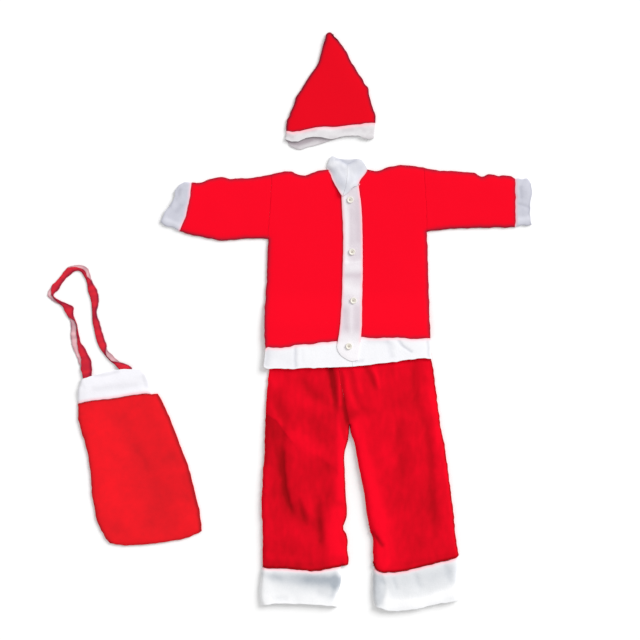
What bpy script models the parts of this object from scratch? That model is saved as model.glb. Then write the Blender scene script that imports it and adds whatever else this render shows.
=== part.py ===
"""A child's Santa suit laid out flat: jacket, trousers, hat and sack, cut from brushed red knit and
trimmed with white fleece.

Metres, +Z up, and z = 0 is the surface it lies on. Right and left are the wearer's. Each garment is
drawn in millimetres in a frame of its own, on an empty that places it. A cut piece is a patch between
four seam lines: the lower layers lie flat, and the upper ones puff up between their rolled edges, with
the large folds pressed into them. Sleeves, cuffs and bands are one strip each, closed into a ring and
laid flat, so each is a flattened tube."""

import math
from collections import namedtuple

import bmesh
import bpy
import numpy as np
from mathutils import Matrix

MM = 0.001

# Cloth and seams, mm
KNIT = 1.7          # wall of the brushed red knit
FLEECE = 2.0        # wall of the white fleece
SEAM = 0.3          # left between two pieces that are sewn together
LAY = 0.5           # left under a piece that lies on another
ROLL = 9.0          # how fast a layer rises from its rolled edge
PUFF = 1.8          # how far the upper layer of the jacket rises off the lower
WAIST_PUFF = 1.0    # the same for the waist of the trousers, pressed down by the jacket
LEG_PUFF = 7.5      # for the legs, which lie fuller
LEG_ROLL = 3.5      # and roll over faster at their edges
HAT_PUFF = 1.6      # for the hat
SACK_PUFF = 2.2     # and for the sack

KNIT_RED = (0.80, 0.006, 0.019)
FLEECE_WHITE = (0.84, 0.84, 0.87)
BUTTON_CREAM = (0.76, 0.70, 0.62)
CLOTH_ROUGHNESS = 0.9
BUTTON_ROUGHNESS = 0.35

# Where each garment lies, mm, and how far the sack is turned, degrees
JACKET_AT = (136.5, -97.0)
TROUSERS_AT = (131.0, -227.0)
HAT_AT = (90.0, 420.0)
SACK_AT = (-375.0, -169.5)
SACK_TURN = 13.7
SET_MIDDLE = (-0.95, 1.73)  # of all four on the surface

Fold = namedtuple("Fold", "x0 y0 x1 y1 width height")
Station = namedtuple("Station", "outer_x outer_y inner_x inner_y cover lift")

# Jacket seam lines, mm from the centre front and up from the lower edge
SIDE_RIGHT = ((-190.5, 38), (-191.5, 50), (-193, 101), (-189, 167), (-185, 279))
ARMHOLE_RIGHT = ((-185, 279), (-180, 354), (-176, 422))
SHOULDER_RIGHT = ((-176, 422), (-154, 427), (-134, 428), (-119, 421), (-101, 419), (-84, 427), (-55, 432))
NECK_RIGHT = ((-55, 432), (-46.3, 419.3), (-44.3, 411.6), (-37.9, 399.9), (-30.5, 385.9), (-22, 372))
NECK_END_RIGHT = ((-22, 372), (0, 352))
FRONT_EDGE_RIGHT = ((0, 57), (0, 352))
HEM_SEAM_RIGHT = ((-190.5, 38), (-186, 40.3), (-170, 40.8), (-147, 41), (-136, 43.5), (-125, 45.8),
                  (-99, 48), (-33, 55), (0, 57))
HEM_EDGE_RIGHT = ((-194.5, 3), (-193.5, -2), (-189, -4.5), (-170, -5), (-100, -4.5), (-50, -4), (0, -3))
HEM_SIDE_RIGHT = ((-194.5, 3), (-193.2, 13), (-191.8, 24), (-190.5, 38))
HEM_END_RIGHT = ((0, -3), (0, 57))
SIDE_LEFT = ((172, 61), (170, 123), (168, 189), (165, 295))
ARMHOLE_LEFT = ((165, 295), (162, 365), (158, 436))
SHOULDER_LEFT = ((35.5, 432), (57, 429), (75, 436), (92, 440), (119, 442), (158, 436))
NECK_LEFT = ((15, 397), (15.5, 403), (17.5, 408), (22, 414), (30, 424), (35.5, 432))
NECK_END_LEFT = ((0, 374), (15, 397))
FRONT_EDGE_LEFT = ((0, 66), (0, 374))
HEM_SEAM_LEFT = ((0, 66), (18, 66), (42, 63), (84, 64), (152, 64), (172, 61))
HEM_EDGE_LEFT = ((0, -3), (30, 0), (72, 6), (114, 11), (142, 14), (174, 13))
HEM_SIDE_LEFT = ((174, 13), (173, 40), (172, 61))
HEM_END_LEFT = ((0, -3), (0, 66))
BACK_NECK = ((-55, 432), (-11, 426), (35.5, 432))
BACK_HEM_SEAM = ((-190.5, 38), (-60, 52), (60, 62), (172, 61))
BACK_HEM_EDGE = ((-194.5, 3), (-60, 0), (60, 8), (174, 13))

SLEEVE_RIGHT_LOW = ((-185, 279), (-216, 282), (-251, 279), (-286, 277), (-321, 284), (-352, 288),
                    (-380, 297))
SLEEVE_RIGHT_TOP = ((-176, 422), (-207, 416), (-246, 414), (-273, 413.5), (-279, 415.5), (-293, 414.5),
                    (-306, 411), (-319, 407.5), (-326, 404), (-352, 403))
CUFF_SEAM_RIGHT = ((-380, 297), (-370, 317), (-359, 356), (-352, 403))
CUFF_RIGHT_LOW = ((-380, 297), (-395, 304), (-409, 307), (-421, 316))
CUFF_RIGHT_TOP = ((-352, 403), (-367, 405), (-380, 399), (-389, 387))
CUFF_RIGHT_END = ((-421, 316), (-411, 338), (-400, 354), (-390, 372), (-389, 387))
SLEEVE_LEFT_LOW = ((165, 295), (196, 301), (233, 304), (286, 304), (358, 305))
SLEEVE_LEFT_TOP = ((158, 436), (194, 431), (233, 429), (260, 425), (271, 423), (279, 416.5), (284, 415.5),
                   (292, 417), (297, 420), (308, 420.5), (323, 418), (332, 418.5), (348, 416), (358, 413))
CUFF_SEAM_LEFT = ((358, 305), (359, 360), (358, 413))
CUFF_LEFT_LOW = ((358, 305), (372, 310), (384, 309), (394, 311))
CUFF_LEFT_TOP = ((358, 413), (372, 412), (385, 412), (394, 401))
CUFF_LEFT_END = ((394, 311), (391, 330), (391, 352), (395, 385), (394, 401))

PLACKET_RIGHT = ((-34, 42), (-29, 70), (-24, 123), (-21, 211), (-20, 299), (-24, 374))
PLACKET_LEFT = ((14, 14), (20, 70), (22, 145), (23, 277), (21, 339), (14, 402))
PLACKET_TONGUE = ((-34, 42), (-28, 28), (-17, 18), (0, 11), (14, 14))
PLACKET_TOP = ((-24, 374), (-10, 390), (4, 401), (14, 402))
PLACKET_STEP = (74, 60)           # between these heights it climbs onto the hem band
COLLAR_FOLD_RIGHT = ((-55, 432), (-54.5, 441), (-52, 450), (-47, 460))
COLLAR_TOP_RIGHT = ((-47, 460), (-43, 461.5), (-33, 457), (-11, 442))
COLLAR_MEETING = ((-22, 372), (-16, 387), (-12, 410), (-11, 442))
COLLAR_END_LEFT = ((-22, 372), (-8, 382), (3, 393), (15, 397))
COLLAR_TOP_LEFT = ((-11, 442), (6, 451), (13.5, 455.3), (20.5, 453.5))
COLLAR_FOLD_LEFT = ((35.5, 432), (31, 439.3), (26.7, 445.5), (20.5, 453.5))
COLLAR_BACK_TOP = ((-47, 460), (-43, 461), (-33, 457.5), (0, 455), (13.5, 455.8), (20.5, 453.5))
COLLAR_PUFF = 1.5
COLLAR_STEP = (432, 398)          # between these heights its ends climb over the placket
COLLAR_CLIMB = 5.8

# The waist of the trousers lies under the jacket, whose back climbs onto it between these heights
WAIST_STEP = (168, 78)
LEG_STEP = (122, -20)             # the legs grow fuller between these heights, below the hem band

JACKET_RIM = (
    SIDE_RIGHT, SHOULDER_RIGHT, HEM_SIDE_RIGHT, SIDE_LEFT, SHOULDER_LEFT, HEM_SIDE_LEFT,
    SLEEVE_RIGHT_LOW, SLEEVE_RIGHT_TOP, CUFF_RIGHT_LOW, CUFF_RIGHT_TOP,
    SLEEVE_LEFT_LOW, SLEEVE_LEFT_TOP, CUFF_LEFT_LOW, CUFF_LEFT_TOP,
)
COLLAR_RIM = (COLLAR_FOLD_RIGHT, COLLAR_TOP_RIGHT, COLLAR_TOP_LEFT, COLLAR_FOLD_LEFT)

BUTTONS = ((-4, 365), (0, 251), (3, 144), (-7, 44))
BUTTON_PROFILE = ((0, 0), (6.3, 0), (7, 1.3), (6.2, 2.6), (5.1, 2.5), (4.4, 1.8), (0, 1.8))
BUTTON_SEGMENTS = 18
BUTTON_HOLE_RADIUS, BUTTON_HOLE_ASIDE = 0.8, 1.4

# Trouser seam lines, mm from the crotch
LEG_OUTER_RIGHT = ((-191, -311), (-193, -231), (-195, -165), (-193, -121), (-188, -55), (-187, 0))
HIP_RIGHT = ((-187, 0), (-182, 88), (-178, 130), (-168, 178))
LEG_INNER_RIGHT = ((-3, -306), (-2, -293), (-6, -275), (-5, -253), (-9, -238), (-16, -227), (-13, -213),
                   (-8, -200), (-6, -187), (-9, -165), (-12, -99), (-13, -60), (-7, -33), (0, 0))
CENTRE_SEAM = ((0, 0), (-9, 43), (-23, 125), (-27, 178))
LEG_END_RIGHT = ((-191, -311), (-182, -313.5), (-164, -314.3), (-142, -315.2), (-120, -317.3),
                 (-98, -319.6), (-76, -319.8), (-60, -317.3), (-43, -314), (-21, -310.5), (-3, -306))
LEG_OUTER_LEFT = ((240, -286), (234, -249), (223, -156), (217, -103), (206, -37), (200, 0))
HIP_LEFT = ((200, 0), (190, 77), (184, 121), (172, 178))
LEG_INNER_LEFT = ((53, -304), (53.5, -292), (54, -264), (55.5, -248), (50.5, -237), (46, -226), (43, -209),
                  (40, -191), (36, -165), (33, -143), (28.5, -121), (24, -99), (17.5, -66), (12, -39),
                  (6.5, -22), (0, 0))
LEG_END_LEFT = ((53, -304), (54.5, -311), (59, -318), (67, -322), (85, -323.5), (107, -323), (133, -318.5),
                (166, -310), (199, -301.5), (221, -296), (234, -291.5), (240, -286))
WAIST_SEAM_RIGHT = ((-168, 178), (-27, 178))
WAIST_SEAM_LEFT = ((-27, 178), (172, 178))
WAIST_EDGE = ((-158, 203), (0, 205), (162, 203))
WAIST_SIDE_RIGHT = ((-168, 178), (-158, 203))
WAIST_SIDE_LEFT = ((172, 178), (162, 203))
LEG_CUFF_SEAM_RIGHT = ((-192, -311.6), (-182, -314.3), (-164, -315.1), (-142, -316), (-120, -318.1),
                       (-98, -320.4), (-76, -320.6), (-60, -318.1), (-43, -314.8), (-18, -311))
LEG_CUFF_OUTER_RIGHT = ((-192, -311.6), (-195, -328), (-197.5, -350), (-198, -372), (-196.5, -386),
                        (-194, -393))
LEG_CUFF_INNER_RIGHT = ((-18, -311), (-18.6, -326), (-18.8, -341), (-21, -354), (-25.5, -368), (-26.8, -382),
                        (-24.5, -397.6))
LEG_CUFF_EDGE_RIGHT = ((-194, -393), (-188, -393.5), (-164, -390.5), (-109, -391.6), (-70, -393),
                       (-45, -395.2), (-24.5, -397.6))
LEG_CUFF_SEAM_LEFT = ((54, -314), (59, -320.3), (67, -324.4), (85, -325.4), (107, -324.9), (133, -320.4),
                      (166, -311.9), (199, -303.3), (221, -297.8), (240, -288))
LEG_CUFF_INNER_LEFT = ((54, -314), (52, -323), (51, -340), (51, -372), (52.5, -385), (55, -393))
LEG_CUFF_OUTER_LEFT = ((240, -288), (238, -321), (240, -354), (242, -383))
LEG_CUFF_EDGE_LEFT = ((55, -393), (64, -399), (76, -403.5), (94, -406), (110, -406.5), (130, -404.5),
                      (155, -400.5), (188, -392.5), (215, -387.5), (242, -383))
TROUSER_RIM = (
    LEG_OUTER_RIGHT, HIP_RIGHT, LEG_INNER_RIGHT, LEG_OUTER_LEFT, HIP_LEFT, LEG_INNER_LEFT,
    WAIST_SIDE_RIGHT, WAIST_SIDE_LEFT, LEG_CUFF_OUTER_RIGHT, LEG_CUFF_INNER_RIGHT,
    LEG_CUFF_OUTER_LEFT, LEG_CUFF_INNER_LEFT,
)

TROUSER_FOLDS = (
    Fold(-35, 128, -35, 50, 9, -2.2),
    Fold(-109, 112, -54, 52, 9, -1.6),
    Fold(-169, 62, -144, 10, 9, -1.8),
    Fold(-145, 20, -144, -96, 11, -2.2),
    Fold(-144, -80, -98, -208, 12, -2.2),
    Fold(-181, 17, -144, -13, 8, -1.5),
    Fold(-74, 2, -40, -37, 12, -1.4),
    Fold(-67, -160, -64, -256, 9, -1.9),
    Fold(-98, -75, -27, -110, 10, -1.3),
    Fold(-28, -120, -28, -300, 13, 1.2),
    Fold(-112, 10, -104, -160, 15, 1.2),
    Fold(-176, -150, -172, -296, 11, 0.9),
    Fold(43, 128, 60, 78, 8, -1.5),
    Fold(146, 130, 146, 40, 12, -1.3),
    Fold(166, 20, 180, -105, 13, -1.7),
    Fold(181, -90, 158, -220, 14, -1.6),
    Fold(111, 4, 111, -184, 13, -1.2),
    Fold(50, -233, 72, -259, 8, -1.6),
    Fold(34, -60, 80, -290, 14, 1.2),
    Fold(90, 100, 80, -60, 16, 1.0),
)

# Hat seam lines, mm from the middle of its band
HAT_RIGHT = ((-99, -1), (-100, 16), (-94, 38), (-87, 58), (-79, 77), (-69, 91), (-63, 102), (-53, 117),
             (-41.5, 132), (-28.5, 150), (-25.5, 158), (-23, 168), (-20.5, 178.5), (-17.2, 189.5),
             (-13.4, 200), (-11.8, 207))
HAT_LEFT = ((98, 18), (98, 31), (93, 49), (88, 66), (84, 79), (81, 94), (73, 106), (68, 117), (60, 129),
            (51, 142), (41, 158), (36.5, 169), (31, 178.5), (26.5, 184.5), (20.5, 191.5), (15, 200),
            (9.5, 205.8), (4.5, 211.5))
HAT_TIP = ((-11.8, 207), (-10.5, 211.5), (-7.5, 215.2), (-3.5, 216.9), (0.5, 216), (4.5, 211.5))
HAT_SEAM = ((-99, -1), (-72, -1), (-46, 5), (-21, 9), (11, 9), (46, 13), (98, 18))
HAT_BAND_RIGHT = ((-99, -1), (-101, -18))
HAT_BAND_LEFT = ((98, 18), (95, -16))
HAT_BAND_FRONT = ((-101, -18), (-90, -23), (-72, -23), (-54, -16), (-24, -14), (0, -18), (28, -12),
                  (56, -11), (84, -18), (95, -16))
HAT_BAND_BACK = ((-101, -18), (-93, -27), (-85, -36), (-74, -40), (-42, -33), (-21, -28), (2, -20),
                 (28, -14), (56, -13), (95, -16))
HAT_RIM = (HAT_RIGHT, HAT_TIP, HAT_LEFT, HAT_BAND_RIGHT, HAT_BAND_LEFT)

# Sack seam lines, mm from the middle of its band, before the sack is turned
SACK_RIGHT = ((-96, -303), (-108, -270), (-109, -207), (-98, -126), (-95, -72), (-98, -26), (-91, 12))
SACK_LEFT = ((107, -325), (111, -285), (110, -235), (114, -186), (105, -121), (97, -65), (90, -26),
             (85, -9))
SACK_SEAM = ((-91, 12), (-64, 11), (-20, 5), (50, -1), (85, -9))
SACK_FOOT = ((-96, -303), (-80, -312), (-24, -324), (33, -327), (75, -328), (107, -325))
SACK_BAND_SEAM = ((-90, 12.7), (-64, 11.7), (-20, 5.7), (50, -0.3), (72, -4.7))
SACK_BAND_RIGHT = ((-90, 12.7), (-84, 38), (-71, 62))
SACK_BAND_LEFT = ((72, -4.7), (74, 29), (71, 50))
SACK_MOUTH = ((-71, 62), (-22, 65), (12, 64), (71, 50))
SACK_RIM = (SACK_RIGHT, SACK_LEFT, SACK_FOOT, SACK_BAND_RIGHT, SACK_BAND_LEFT)
# The mouth of its band stands fuller, round the ends of the strap
MOUTH_PUFF, MOUTH_ROLL = 4.8, 2.2
MOUTH_STEP = (12, 44)

# The strap is a strip folded along its inner edge and pressed flat. Each station gives the outer and the
# inner edge, how much of the width the upper layer covers where it twists back, and how high it lies.
STRAP_WALL = 1.2
STRAP_GAP = 0.2
STRAP = (
    Station(-65.9, 41, -48.5, 42.6, 1, 2.15), Station(-66.2, 54.6, -46.8, 56.2, 1, 2.15),
    Station(-66.9, 66.6, -45.6, 68.4, 1, 2.15), Station(-67.4, 81, -42.5, 79.4, 1, 1.5),
    Station(-67.1, 93.4, -40.7, 91.4, 0.9, 0.5), Station(-68.4, 105, -41.7, 103, 0.76, 0),
    Station(-70.1, 116.7, -44.7, 113.9, 0.68, 0), Station(-71.7, 128.4, -46.1, 126.7, 0.64, 0),
    Station(-72.7, 140, -46.7, 138.2, 0.58, 0), Station(-72.5, 151.3, -48.6, 148.9, 0.48, 0),
    Station(-71.2, 162.3, -49.3, 159.2, 0.42, 0), Station(-68.1, 172.9, -48.8, 170.4, 0.36, 0),
    Station(-64.9, 182.3, -49.2, 181.8, 0.28, 0), Station(-63.7, 191, -50.3, 191.2, 0.45, 0),
    Station(-65.6, 198.3, -51.9, 200.6, 0.85, 0), Station(-69, 208.2, -52.5, 210.2, 1, 0),
    Station(-71.4, 218.9, -50.9, 219.4, 1, 0), Station(-72.8, 227, -55.5, 227.3, 1, 0),
    Station(-76.5, 231.5, -68.2, 235.8, 1, 0), Station(-83.6, 237.8, -77.6, 243.6, 0.8, 0),
    Station(-91.6, 244.9, -84.2, 250.1, 0.45, 0), Station(-97.3, 252, -86.5, 254.3, 0.35, 0),
    Station(-99.5, 259.8, -85.6, 257.3, 0.4, 0), Station(-96.4, 266.7, -81.1, 260.7, 0.55, 0),
    Station(-91, 272.2, -75.8, 263.9, 0.85, 0), Station(-84.7, 277.9, -69.9, 267.9, 1, 0),
    Station(-77, 283.3, -65, 273.1, 1, 0), Station(-68.9, 288.7, -58.8, 279.9, 1, 0),
    Station(-60.7, 294.5, -51.5, 285.6, 1, 0), Station(-53.3, 300.8, -43.5, 288.7, 1, 0),
    Station(-46.4, 306.6, -36.2, 292.8, 1, 0), Station(-37.6, 309.2, -30.9, 296, 0.95, 0),
    Station(-27.6, 309.3, -24.9, 296.4, 0.9, 0), Station(-16.8, 307.3, -19.3, 295, 0.84, 0),
    Station(-7.4, 303.2, -15, 290.3, 0.74, 0), Station(-0.6, 295.9, -12.3, 282.9, 0.66, 0),
    Station(1.7, 284.9, -9.6, 273.6, 0.74, 0), Station(1.9, 272.6, -9.2, 264, 0.92, 0),
    Station(4.9, 258.8, -10.1, 254.7, 1, 0), Station(9, 246, -10.7, 245.8, 1, 0),
    Station(9.4, 232.8, -9.6, 234.7, 1, 0), Station(7.2, 220.1, -9.6, 223.4, 1, 0),
    Station(2.7, 209, -11, 212.4, 1, 0), Station(-2.4, 199, -12.8, 201.9, 1, 0),
    Station(-4.2, 188.1, -15.4, 189.4, 1, 0), Station(-2.7, 177.3, -17.6, 176.8, 1, 0),
    Station(-2, 163.5, -18, 163.8, 1, 0), Station(-1.5, 148.9, -18.2, 149.4, 1, 0),
    Station(-0.3, 133.7, -18.2, 134.4, 1, 0), Station(0.9, 120.7, -15.9, 121.6, 1, 0),
    Station(-1.2, 113.1, -12.8, 111.8, 0.9, 0), Station(1.7, 106.5, -9, 103.2, 0.45, 0),
    Station(8.2, 97.6, -3.9, 92.9, 0.16, 0), Station(12.4, 88.9, 0.9, 84.5, 0.3, 0),
    Station(18.6, 81.1, 6.9, 77.6, 0.8, 0.9), Station(29.1, 74, 11.1, 70.7, 1, 2),
    Station(43.4, 60.1, 14.8, 61.6, 1, 2.15), Station(39.1, 48, 14.8, 50.3, 1, 2.15),
    Station(33.1, 32.7, 13.6, 36.1, 1, 2.15),
)


# ---------------------------------------------------------------- shapes in the plan

def along(rows, t):
    """Points at the fractions t of a smooth curve through the rows of a table."""
    points = np.array(rows, float)
    t = np.asarray(t, float)
    steps = np.linalg.norm(np.diff(points[:, :2], axis=0), axis=1)
    knots = np.concatenate([[0.0], np.cumsum(steps)]) / steps.sum()
    slopes = np.gradient(points, knots, axis=0)
    i = np.clip(np.searchsorted(knots, t, side="right") - 1, 0, len(knots) - 2)
    span = (knots[i + 1] - knots[i])[..., None]
    f = ((t - knots[i]) / (knots[i + 1] - knots[i]))[..., None]
    return (
        (2 * f**3 - 3 * f**2 + 1) * points[i]
        + (f**3 - 2 * f**2 + f) * span * slopes[i]
        + (3 * f**2 - 2 * f**3) * points[i + 1]
        + (f**3 - f**2) * span * slopes[i + 1]
    )


def chain(seams, t):
    """Points along seams laid end to end, each over an equal share of t, so that their corners stay."""
    place = np.clip(np.asarray(t, float) * len(seams), 0, len(seams) - 1e-9)
    points = np.zeros((*place.shape, 2))
    for number, rows in enumerate(seams):
        mine = place.astype(int) == number
        points[mine] = along(rows, place[mine] - number)
    return points


def even(cells):
    """Fractions from 0 to 1 at equal steps."""
    return np.linspace(0, 1, cells + 1)


def crowded_first(cells):
    """Fractions that crowd towards 0, where a layer rolls over."""
    return 1 - np.cos(even(cells) * math.pi / 2)


def crowded_last(cells):
    """Fractions that crowd towards 1."""
    return np.sin(even(cells) * math.pi / 2)


def crowded(cells):
    """Fractions that crowd towards both ends."""
    return (1 - np.cos(even(cells) * math.pi)) / 2


def joined(*shares):
    """Fractions along a chain of seams, with a list from 0 to 1 for each seam."""
    places = [(number + share) / len(shares) for number, share in enumerate(shares)]
    return np.unique(np.concatenate(places).round(9))


def patch(left, right, bottom, top, columns, rows):
    """A grid of (x, y) between four chains of seams. Bottom and top run from left to right, left and
    right from bottom to top."""
    u, v = np.meshgrid(columns, rows)
    u, v = u[..., None], v[..., None]
    low, high = chain(bottom, columns)[None], chain(top, columns)[None]
    near, far = chain(left, rows)[:, None], chain(right, rows)[:, None]
    corners = (
        (1 - u) * (1 - v) * low[:, :1] + u * (1 - v) * low[:, -1:]
        + (1 - u) * v * high[:, :1] + u * v * high[:, -1:]
    )
    return (1 - v) * low + v * high + (1 - u) * near + u * far - corners


def drawn_in(grid, sides=True):
    """The grid with its edges drawn in by half a seam gap: the first and last rows, and the side columns
    too where there is a seam along them."""
    shift = np.zeros_like(grid)
    edges = [(grid[0], grid[1], shift[0]), (grid[-1], grid[-2], shift[-1])]
    if sides:
        edges += [(grid[:, 0], grid[:, 1], shift[:, 0]), (grid[:, -1], grid[:, -2], shift[:, -1])]
    for edge, neighbour, moved in edges:
        run = np.gradient(edge, axis=0)
        run /= np.linalg.norm(run, axis=1)[:, None]
        inward = neighbour - edge
        inward -= (inward * run).sum(1)[:, None] * run
        moved += inward / np.linalg.norm(inward, axis=1)[:, None] * SEAM / 2
    return grid + shift


def reach(row):
    """How far each point of a row is from its first one, measured along the row."""
    return np.concatenate([[0.0], np.cumsum(np.linalg.norm(np.diff(row, axis=0), axis=1))])


def pulled_in(grid, inset):
    """The grid with its side edges moved in along each row, and the points between slid to suit."""
    moved = np.zeros_like(grid)
    for number, row in enumerate(grid):
        far = reach(row)
        spots = inset + far * (1 - 2 * inset / far[-1])
        moved[number, :, 0] = np.interp(spots, far, row[:, 0])
        moved[number, :, 1] = np.interp(spots, far, row[:, 1])
    return moved


# ---------------------------------------------------------------- how high each layer lies

def edge_distance(x, y, seams):
    """How far each point is from the nearest of the seams."""
    fractions = even(24)
    nearest = np.full(np.shape(x), np.inf)
    for rows in seams:
        line = along(rows, fractions)
        start, run = line[:-1], np.diff(line, axis=0)
        away = np.stack([x, y], -1)[..., None, :] - start
        share = np.clip((away * run).sum(-1) / (run**2).sum(-1), 0, 1)
        gaps = np.linalg.norm(away - share[..., None] * run, axis=-1)
        nearest = np.minimum(nearest, gaps.min(-1))
    return nearest


def puffed(x, y, seams, height, roll=ROLL):
    """The rise of an upper layer that is rolled down along the seams."""
    return height * (1 - np.exp(-edge_distance(x, y, seams) / roll))


def pressed(x, y, folds):
    """The sum of the soft ridges and troughs in a table of folds."""
    total = np.zeros(np.shape(x))
    for fold in folds:
        run = np.array([fold.x1 - fold.x0, fold.y1 - fold.y0], float)
        away = np.stack([x - fold.x0, y - fold.y0], -1)
        share = np.clip((away @ run) / (run @ run), 0, 1)
        side = np.linalg.norm(away - share[..., None] * run, axis=-1)
        total += fold.height * np.exp(-((side / fold.width) ** 2)) * (4 * share * (1 - share)) ** 0.6
    return total


def step(value, start, end):
    """A smooth step from 0 at start to 1 at end."""
    share = np.clip((value - start) / (end - start), 0, 1)
    return share * share * (3 - 2 * share)


def flat(x, y):
    return np.zeros(np.shape(x))


def jacket_back_under(x, y):
    """Flat on the surface, then up onto the waist of the trousers."""
    return (2 * KNIT + SEAM + WAIST_PUFF + LAY) * step(y, *WAIST_STEP)


def jacket_rise(x, y):
    return puffed(x, y, JACKET_RIM, PUFF)


def jacket_front_under(x, y):
    return jacket_back_under(x, y) + KNIT + SEAM + jacket_rise(x, y)


def hem_front_under(x, y):
    return jacket_back_under(x, y) + FLEECE + SEAM + jacket_rise(x, y)


def placket_under(x, y):
    """On the fronts, and on the thicker hem band below them."""
    return jacket_front_under(x, y) + KNIT + LAY + 2 * (FLEECE - KNIT) * step(y, *PLACKET_STEP)


def collar_under(x, y):
    """From the fold at the back of the neck up over the top of the placket."""
    fold = FLEECE + SEAM + puffed(x, y, COLLAR_RIM, COLLAR_PUFF)
    return fold + COLLAR_CLIMB * step(y, *COLLAR_STEP)


def trouser_rise(x, y):
    """Low under the jacket and fuller down the legs."""
    fuller = step(y, *LEG_STEP)
    low = puffed(x, y, TROUSER_RIM, WAIST_PUFF)
    return low + fuller * (puffed(x, y, TROUSER_RIM, LEG_PUFF, LEG_ROLL) - low)


def trouser_front_under(x, y):
    return KNIT + SEAM + np.maximum(trouser_rise(x, y) + pressed(x, y, TROUSER_FOLDS), 0)


def hat_rise(x, y):
    return puffed(x, y, HAT_RIM, HAT_PUFF)


def hat_front_under(x, y):
    return KNIT + SEAM + hat_rise(x, y)


def sack_rise(x, y):
    return puffed(x, y, SACK_RIM, SACK_PUFF)


def sack_front_under(x, y):
    return KNIT + SEAM + sack_rise(x, y)


def sack_band_rise(x, y):
    """As the sack at their seam, and fuller at the mouth."""
    fuller = step(y, *MOUTH_STEP)
    low = sack_rise(x, y)
    return low + fuller * (puffed(x, y, SACK_RIM, MOUTH_PUFF, MOUTH_ROLL) - low)


# ---------------------------------------------------------------- solids

def collection(name):
    made = bpy.data.collections.new(name)
    bpy.context.scene.collection.children.link(made)
    return made


def garment(name, place, turn=0.0):
    """An empty that carries the pieces of one garment."""
    empty = bpy.data.objects.new(name, None)
    empty.empty_display_size = 0.05
    empty.location = ((place[0] - SET_MIDDLE[0]) * MM, (place[1] - SET_MIDDLE[1]) * MM, 0.0)
    empty.rotation_euler.z = math.radians(turn)
    parts.objects.link(empty)
    return empty


def finished(piece, name, colour, roughness, holder):
    """Gives a piece its name and its material, and sews it into its garment."""
    piece.name = piece.data.name = name
    finish = bpy.data.materials.new(name)
    finish.use_nodes = True
    shader = finish.node_tree.nodes["Principled BSDF"]
    shader.inputs["Base Color"].default_value = (*colour, 1.0)
    shader.inputs["Roughness"].default_value = roughness
    piece.data.materials.clear()
    piece.data.materials.append(finish)
    piece.data.shade_smooth()
    piece.data.set_sharp_from_angle(angle=math.radians(50))
    piece.parent = holder
    for other in list(piece.users_collection):
        other.objects.unlink(piece)
    parts.objects.link(piece)
    return piece


def cut_sheet(grid, under, wall):
    """A flat grid laid on its patch, set on what it lies on and thickened upwards."""
    rows, columns = grid.shape[:2]
    heights = under(grid[..., 0], grid[..., 1])
    bpy.ops.mesh.primitive_grid_add(x_subdivisions=columns - 1, y_subdivisions=rows - 1, size=1.0)
    piece = bpy.context.object
    cloth = bmesh.new()
    cloth.from_mesh(piece.data)
    for vertex in cloth.verts:
        column = round((vertex.co.x + 0.5) * (columns - 1))
        row = round((vertex.co.y + 0.5) * (rows - 1))
        vertex.co = (*(grid[row, column] * MM), heights[row, column] * MM)
    raised = bmesh.ops.extrude_face_region(cloth, geom=cloth.faces[:], use_keep_orig=True)["geom"]
    raised = [item for item in raised if isinstance(item, bmesh.types.BMVert)]
    bmesh.ops.translate(cloth, verts=raised, vec=(0, 0, wall * MM))
    bmesh.ops.recalc_face_normals(cloth, faces=cloth.faces[:])
    cloth.to_mesh(piece.data)
    cloth.free()
    return piece


def skinned(rings, around):
    """A skin over a row of rings. It closes on its first ring when it goes right around a wall, and is
    capped at its ends when it does not."""
    skin = bmesh.new()
    made = [[skin.verts.new(point * MM) for point in ring] for ring in rings]
    pairs = list(zip(made, made[1:]))
    if around:
        pairs.append((made[-1], made[0]))
    else:
        skin.faces.new(made[0])
        skin.faces.new(made[-1])
    for here, there in pairs:
        for i in range(len(here)):
            j = (i + 1) % len(here)
            skin.faces.new((here[i], here[j], there[j], there[i]))
    bmesh.ops.recalc_face_normals(skin, faces=skin.faces[:])
    mesh = bpy.data.meshes.new("skin")
    skin.to_mesh(mesh)
    skin.free()
    return bpy.data.objects.new("skin", mesh)


def flattened_rings(front, back, rise, middle, radius):
    """Rings round a flattened tube: over its front, under its back, with half-round sides."""
    rings = []
    for upper, lower in zip(front, back):
        ring = []
        for row, side in ((upper, 1), (lower[-2:0:-1], -1)):
            whole = upper if side > 0 else lower
            far = reach(whole)
            near = np.minimum(far, far[-1] - far)
            near = near if side > 0 else near[-2:0:-1]
            arc = np.sqrt(radius**2 - (radius - np.minimum(near, radius)) ** 2)
            height = middle + side * arc
            if side > 0:
                height = height + rise(row[:, 0], row[:, 1])
            ring.append(np.column_stack([row, height]))
        rings.append(np.concatenate(ring))
    return rings


def flattened_tube(front, back, rise, wall):
    """A strip closed into a ring and laid flat."""
    middle = wall + SEAM / 2
    outer = flattened_rings(front, back, rise, middle, middle)
    inner = flattened_rings(pulled_in(front, wall), pulled_in(back, wall), rise, middle, middle - wall)
    return skinned(outer + inner[::-1], True)


def folded_strip(stations, wall, gap):
    """A strip folded along its inner edge and laid flat: a lower layer, and an upper one that may stop
    short of the outer edge."""
    rings = []
    for station in stations:
        inner = np.array([station.inner_x, station.inner_y])
        across = np.array([station.outer_x, station.outer_y]) - inner
        width = np.linalg.norm(across)
        tip = max(station.cover * width, 2 * wall)
        section = (
            (0, 0), (width, 0), (width, wall), (wall, wall),
            (wall, wall + gap), (tip, wall + gap), (tip, 2 * wall + gap), (0, 2 * wall + gap),
        )
        points = [(*(inner + across * out / width), station.lift + up) for out, up in section]
        rings.append(np.array(points))
    return skinned(rings, False)


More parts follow.
